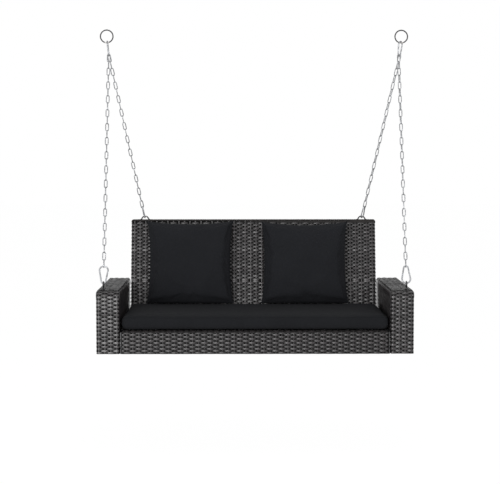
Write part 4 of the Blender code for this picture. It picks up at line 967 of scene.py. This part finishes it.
hook_zinc = zinc_plate("hook_zinc", 0.55)
chain_ends = {}
for side, way in (("left", -1), ("right", 1)):
    form = Hook("top")
    down = Vector((-way * math.sin(TOP_HOOK_LEAN), 0, -math.cos(TOP_HOOK_LEAN)))
    crown = Vector((way * RING_OFFSET, 0, ring_radius)) + down * (
        ring_radius - (RING_WIRE + form.thick) / 2 - HOOK_PLAY)
    turn = TOP_HOOK_TURN[way]
    top = hook_frame(crown + down * form.span, -down, Vector((math.sin(turn), math.cos(turn), 0)))
    snap_hook("top_hook_" + side, "top", top, hook_zinc)
    top_up, top_normal = top.col[2].to_3d(), top.col[1].to_3d()
    reach = form.narrow / 2 - form.thick - LINK_WIRE / 2
    rise = form.low - math.sqrt(reach ** 2 - TOP_LINK_SPREAD ** 2) + 0.45 * LINK_WIRE

    def link_seat(aim, offset):
        """Where a chain's last crown lies in the top hook: its rise up the hook, leant along the chain."""
        shift = top_normal * (aim.dot(top_normal) / aim.dot(top_up))
        return top.translation + top.col[0].to_3d() * offset + (top_up + shift) * rise

    form = Hook("front")
    eye = eye_centres[side]
    grip = (EYE_OUTER - EYE_WIRE) / 2 - (EYE_WIRE + form.thick) / 2 - HOOK_FIT
    aim = (top.translation - eye).normalized()
    low = eye + aim * grip
    high = low + aim * form.span
    front = hook_frame(low, aim, Vector((1, 0, 0))) if way < 0 else hook_frame(high, -aim, Vector((1, 0, 0)))
    snap_hook("front_hook_" + side, "front", front, hook_zinc)
    start = high - aim * ((form.thick + LINK_WIRE) / 2 + LINK_PLAY)
    end = link_seat(aim, -TOP_LINK_SPREAD)
    chain_ends["front_chain_" + side] = (start, end, front.col[1].to_3d(), top_normal)

    form = Hook("rear")
    centre = arch_places[side] @ Vector((0, 0, ARCH_RISE - ARCH_RADIUS))
    aim = (top.translation - centre).normalized()
    square = Vector(back_rearwards)
    contact = centre + (aim - square * aim.dot(square)).normalized() * ARCH_RADIUS
    aim = (top.translation - contact).normalized()
    end = link_seat(aim, TOP_LINK_SPREAD)
    aim = (end - contact).normalized()
    low = contact - aim * ((ARCH_WIRE + form.thick) / 2 + HOOK_PLAY)
    high = low + aim * form.span
    across = Matrix.Rotation(REAR_HOOK_TURN[way], 3, aim) @ Vector((0, 1, 0))
    rear = hook_frame(high, -aim, across)
    snap_hook("rear_hook_" + side, "rear", rear, hook_zinc)
    start = high - aim * ((form.thick + LINK_WIRE) / 2 + LINK_PLAY)
    chain_ends["rear_chain_" + side] = (start, end, rear.col[1].to_3d(), top_normal)


# --- Chains -----------------------------------------------------------------------------------------
# Welded zinc-plated link chain, pulled straight by the bench's weight. Every link stands a quarter turn
# from the last; each has a weld's small swelling in the middle of one side.

LINK_LAP = 0.0002
WELD_SWELLING = 1.14

chain_zinc = zinc_plate("chain_zinc", 0.6)
for name, (start, end, first_across, last_across) in chain_ends.items():
    run = end - start
    count = round((run.length - LINK_WIRE) / LINK_PITCH)
    pitch = (run.length - LINK_WIRE) / count
    stand = hook_frame(start, run, first_across)
    final = stand.to_3x3().inverted() @ last_across
    twist = math.remainder(math.atan2(final.y, final.x) - (count - 1) * math.pi / 2, math.pi)
    crown = (pitch + LINK_WIRE - LINK_LAP) / 2
    bend = (LINK_WIDTH - LINK_WIRE) / 2
    turn = np.radians([0, 45, 90, 135, 180])
    top = np.stack([bend * np.cos(turn), crown - bend + bend * np.sin(turn)], -1)
    oval = np.concatenate([[(bend, 0)], top, [(-bend, 0)], -top])
    number = np.arange(count)
    around = number * math.pi / 2 + twist * number / (count - 1)
    height = (pitch + LINK_WIRE) / 2 + number * pitch
    spin = on_circle(around)
    path = np.concatenate([oval[None, :, :1] * spin[:, None], oval[None, :, 1:] + height[:, None, None]], -1)
    normal = np.stack([-spin[:, 1], spin[:, 0], np.zeros(count)], -1)
    normal = (normal @ np.array(stand)[:3, :3].T)[:, None]
    thick = LINK_WIRE * np.where(np.arange(len(oval)) == 0, WELD_SWELLING, 1.0)[None]
    points, faces = wire(placed(path, stand), normal, thick, 6, True)
    links = new_piece(name.replace("chain", "links"), points, faces, chain_zinc, 180.0)
    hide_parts(name)
    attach(links, "swing")


# --- Seat cushion -----------------------------------------------------------------------------------
# One long foam cushion in a sewn charcoal cover, boxed: a top, a bottom and a band between them. It lies
# loose on the deck, crowned along its length, with its sides drawn in between the corners.

COVER_PRESSURE = 4.0
COVER_FRAMES = 20
CUSHION_STEP = 0.0075
CUSHION_START = (0.004, 0.004, 0.008)
CUSHION_CAP = 0.006
CUSHION_SPARE = (0.0020, 0.0012, 0.0003)
SEAM_CORNER = 0.020
CORD = 0.0034
CORD_WEFT = 3.0
REST_GAP = 0.0008


def merged_copy(name, node):
    """A copy of a CAD piece's surface with its loose triangles joined up."""
    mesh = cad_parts[node].data.copy()
    mesh.materials.clear()
    item = new_object(name, mesh)
    weld = item.modifiers.new("weld", "WELD")
    weld.merge_threshold = 0.0001
    applied(item)
    return item


def applied(item):
    """The piece with its modifiers worked into its mesh."""
    bpy.context.view_layer.update()
    graph = bpy.context.evaluated_depsgraph_get()
    mesh = bpy.data.meshes.new_from_object(item.evaluated_get(graph))
    item.modifiers.clear()
    item.data = mesh
    return item


def spots(mesh):
    """A mesh's points as an array (n, 3)."""
    places = np.empty(len(mesh.vertices) * 3, np.float32)
    mesh.vertices.foreach_get("co", places)
    return places.reshape(-1, 3).astype(float)


def move_points(item, places):
    """Put a mesh's points at these places, an array (n, 3)."""
    item.data.vertices.foreach_set("co", places.ravel())
    item.data.update()


def settle(item, cap):
    """Fill a closed cover: cloth under pressure for a few frames, no point moved further than the cap."""
    before = spots(item.data)
    cover = item.modifiers.new("cover", "CLOTH")
    cover.settings.quality = 6
    cover.settings.mass = 0.25
    cover.settings.tension_stiffness = 18
    cover.settings.compression_stiffness = 12
    cover.settings.bending_stiffness = 0.35
    cover.settings.air_damping = 2.0
    cover.settings.use_pressure = True
    cover.settings.uniform_pressure_force = COVER_PRESSURE
    cover.settings.effector_weights.gravity = 0
    cover.point_cache.frame_start = 1
    cover.point_cache.frame_end = COVER_FRAMES
    for number in range(1, COVER_FRAMES + 1):
        bpy.context.scene.frame_set(number)
    graph = bpy.context.evaluated_depsgraph_get()
    after = spots(item.evaluated_get(graph).data)
    item.modifiers.clear()
    bpy.context.scene.frame_set(1)
    moved = after - before
    size = np.linalg.norm(moved, axis=1, keepdims=True)
    moved *= np.minimum(1, cap / np.maximum(size, 1e-9))
    move_points(item, before + moved)


def softened(item):
    """One subdivision, worked into the mesh."""
    smooth = item.modifiers.new("smooth", "SUBSURF")
    smooth.levels = smooth.render_levels = 1
    return applied(item)


def seam_path(item, plan, level, slope):
    """Where a slanting seam plane meets a filled cover: from outside each edge of its box, at this level,
    the first point of the surface met along -(facing, slope), evened out along the seam."""
    tree = BVHTree.FromPolygons(spots(item.data).tolist(), [face.vertices[:] for face in item.data.polygons])
    _, places, facings = walk(plan, 0.006)
    inwards = np.column_stack([-facings, np.full(len(facings), -slope)])
    origins = np.column_stack([places, np.full(len(places), level)]) - inwards * 0.02
    met = [tree.ray_cast(Vector(origin), Vector(inward))[0] for origin, inward in zip(origins, inwards)]
    path = np.array(met[:-1])
    for _ in range(3):
        path = (np.roll(path, 1, 0) + path * 2 + np.roll(path, -1, 0)) / 4
    return path[None]


def cover_cloth(name, colour, paler, pitch):
    """Woven outdoor canvas: warp and weft as crossed ribs, yarns of slightly different shade and broad uneven
    fading. The marks warp and weft are each point's distances over the cloth."""
    look, place = material(name)
    warp = place.node("Attribute", {"attribute_name": "warp"}, {}, "Fac")
    weft = place.node("Attribute", {"attribute_name": "weft"}, {}, "Fac")
    turns = 2 * math.pi / pitch
    rib = place.sum("SINE", warp * turns, 0.0) * place.sum("SINE", weft * turns, 0.0)
    yarns = place.node("CombineXYZ", {}, {0: warp, 1: weft})
    slub_warp = yarns.node("VectorMath", {"operation": "MULTIPLY"}, {0: yarns, 1: (1400.0, 60.0, 1.0)})
    slub_weft = yarns.node("VectorMath", {"operation": "MULTIPLY"}, {0: yarns, 1: (60.0, 1400.0, 1.0)})
    slub = slub_warp.noise(1.0, 2.0) * 0.5 + slub_weft.noise(1.0, 2.0) * 0.5
    fade = place.noise(7.0, 4.0, 0.55)
    tone = slub.between(0.35, 0.65) * 0.55 + rib * 0.10 + fade.between(0.3, 0.7) * 0.35
    coat(place, Base_Color=tone.tint(colour, paler), Roughness=0.86 + fade * 0.12,
         Specular_IOR_Level=0.12,
         Normal=(rib * 0.25 + slub * 0.75).bump(0.45, 0.0005))
    return look


low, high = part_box("seat_cushion")
cushion = merged_copy("seat_pad", "seat_cushion")
places = spots(cushion.data)
middle = (np.array(low) + np.array(high)) / 2
middle[2] = low.z
size = np.array(high) - np.array(low)
shrink = 1 - np.array(CUSHION_START) * (2, 2, 1) / size
move_points(cushion, middle + (places - middle) * shrink)
remesh = cushion.modifiers.new("remesh", "REMESH")
remesh.mode = "VOXEL"
remesh.voxel_size = CUSHION_STEP
applied(cushion)
settle(cushion, CUSHION_CAP)
softened(cushion)
places = spots(cushion.data)
least, most = places.min(0), places.max(0)
spare = np.array(CUSHION_SPARE)
places = np.array(low) + spare + (places - least) / (most - least) * (size - 2 * spare)
move_points(cushion, places)
drop = np.maximum(high.z - 0.012 - places[:, 2], 0)
sideways = np.sign(places[:, 0]) * drop * (np.abs(places[:, 0]) > high.x - 0.02)
mark_points(cushion.data, warp=places[:, 0] + sideways, weft=places[:, 1] - drop)
cushion.data.materials.clear()
canvas = cover_cloth("cushion_canvas", (0.0068, 0.0072, 0.0084), (0.0122, 0.0128, 0.0146), 0.0012)
cushion.data.materials.append(canvas)
cushion.data.polygons.foreach_set("use_smooth", np.ones(len(cushion.data.polygons), bool))
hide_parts("seat_cushion")
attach(cushion, "seat_cushion_body")

inner_x, inner_y = high.x - SEAM_CORNER, (high.y - low.y) / 2 - SEAM_CORNER
middle_y = (high.y + low.y) / 2
plan = outline(((0, low.y), (0, -1)), ((inner_x, middle_y - inner_y), SEAM_CORNER, -90, 0),
               ((inner_x, middle_y + inner_y), SEAM_CORNER, 0, 90),
               ((-inner_x, middle_y + inner_y), SEAM_CORNER, 90, 180),
               ((-inner_x, middle_y - inner_y), SEAM_CORNER, 180, 270), ((0, low.y), (0, -1)))
for tag, level, slope in (("top", high.z, 1.0), ("bottom", low.z, -1.0)):
    path = seam_path(cushion, plan, level, slope)
    path[..., 2] = np.clip(path[..., 2], low.z + CORD / 2, high.z)
    points, faces = wire(path, np.array([0.0, 0.0, 1.0]), CORD, 8, True)
    cord = new_piece("seat_cord_" + tag, points, faces, canvas, 180.0)
    mark_points(cord.data, warp=points[:, 0] + points[:, 1], weft=points[:, 2] * CORD_WEFT)
    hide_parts("seat_cushion")
    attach(cord, "seat_cushion_body")


# --- Scatter pillows --------------------------------------------------------------------------------
# Two square pillows, knife-edged: a front and a back sewn together along all four sides, overfilled in
# the middle, so the sides draw in and the corners stand out as points. They lean on the back.

DECK_HEIGHT = 0.095
CUSHION_HEIGHT = 0.065
PILLOW_HALF_WIDTH = 0.195
PILLOW_HALF_HEIGHT = 0.186
PILLOW_HALF_THICK = 0.0575
PILLOW_EDGE = 0.0015
PILLOW_STEPS = 72
PILLOW_CAP = 0.012

pillow_canvas = cover_cloth("pillow_canvas", (0.0080, 0.0085, 0.0102), (0.0146, 0.0153, 0.0178), 0.0011)
offset = -BACK_HALF_THICK - REST_GAP - PILLOW_HALF_THICK
rest = DECK_HEIGHT + REST_GAP + CUSHION_HEIGHT + REST_GAP
lift = rest / math.cos(BACK_RECLINE) + (offset + 0.008) * math.tan(BACK_RECLINE) + PILLOW_HALF_HEIGHT
for side, across, seed in (("left", -0.285, 41), ("right", 0.228, 42)):
    chance = np.random.default_rng(seed)
    line = np.sin(np.linspace(-1, 1, PILLOW_STEPS + 1) * math.pi / 2 * 0.96) / math.sin(math.pi / 2 * 0.96)
    u, v = np.meshgrid(line, line, indexing="ij")
    pull = chance.uniform(0.9, 1.1, 4) * (0.012, 0.012, 0.016, 0.005)
    side_pull = np.where(u < 0, pull[0], pull[1]) * (1 - v ** 2) * np.abs(u) ** 1.5
    end_pull = np.where(v > 0, pull[2], pull[3]) * (1 - u ** 2) * np.abs(v) ** 1.5
    x = u * (PILLOW_HALF_WIDTH - side_pull)
    z = v * (PILLOW_HALF_HEIGHT - end_pull)
    full = ((1 - u ** 2) * (1 - v ** 2)) ** 0.42 * (1 + 0.10 * (1 - v) / 2)
    swell = PILLOW_EDGE + (PILLOW_HALF_THICK * 0.93 - PILLOW_EDGE) * full
    sheets = np.stack([np.stack([x, -swell, z], -1), np.stack([x, swell, z], -1)])
    number = np.arange(u.size).reshape(u.shape)
    quads = np.stack([number[:-1, :-1], number[1:, :-1], number[1:, 1:], number[:-1, 1:]], -1).reshape(-1, 4)
    border = np.concatenate([number[:-1, 0], number[-1, :-1], number[:0:-1, -1], number[0, :0:-1]])
    ahead = np.roll(border, -1)
    seam = np.stack([border, border + u.size, ahead + u.size, ahead], -1)
    faces = [quads, quads[:, ::-1] + u.size, seam]
    stand = back_frame_place @ Matrix.Translation((across, offset, lift))
    points = placed(sheets.reshape(-1, 3), stand)
    pillow = new_piece("pillow_pad_" + side, points, faces, pillow_canvas, 180.0)
    settle(pillow, PILLOW_CAP)
    inverse = stand.inverted()
    grid = placed(spots(pillow.data), inverse).reshape(2, *u.shape, 3)
    rise = (1 + v) / 2
    corners = np.abs(grid[:, [0, -1]][..., [0, -1], 0]).mean((0, 1))
    grid[..., 0] *= PILLOW_HALF_WIDTH / (corners[0] * (1 - rise) + corners[1] * rise)
    grid[..., 2] += (0.001 - PILLOW_HALF_HEIGHT - grid[:, :, :1, 2]) * (1 - rise) ** 1.5
    grid[..., 2] += (PILLOW_HALF_HEIGHT - grid[:, :, -1, 2].max()) * rise ** 1.5
    edge = placed(grid.reshape(-1, 3), stand)
    move_points(pillow, edge)
    path = ((edge[border] + edge[border + u.size]) / 2)[None]
    points, faces = wire(path, np.array([0.0, 1.0, 0.0]), CORD, 8, True)
    cord = new_piece("pillow_cord_" + side, points, faces, pillow_canvas, 180.0)
    mark_points(cord.data, warp=points[:, 0] + points[:, 2], weft=points[:, 1] * CORD_WEFT)
    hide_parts("pillow_" + side)
    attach(cord, "pillow_%s_body" % side)
    softened(pillow)
    local = placed(spots(pillow.data), inverse)
    local[:, 1] = np.clip(local[:, 1], -PILLOW_HALF_THICK - 0.004, PILLOW_HALF_THICK)
    mark_points(pillow.data, warp=local[:, 0], weft=local[:, 2])
    places = placed(local, stand)
    places[:, 2] = np.maximum(places[:, 2], high.z + REST_GAP)
    move_points(pillow, places)
    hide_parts("pillow_" + side)
    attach(pillow, "pillow_%s_body" % side)
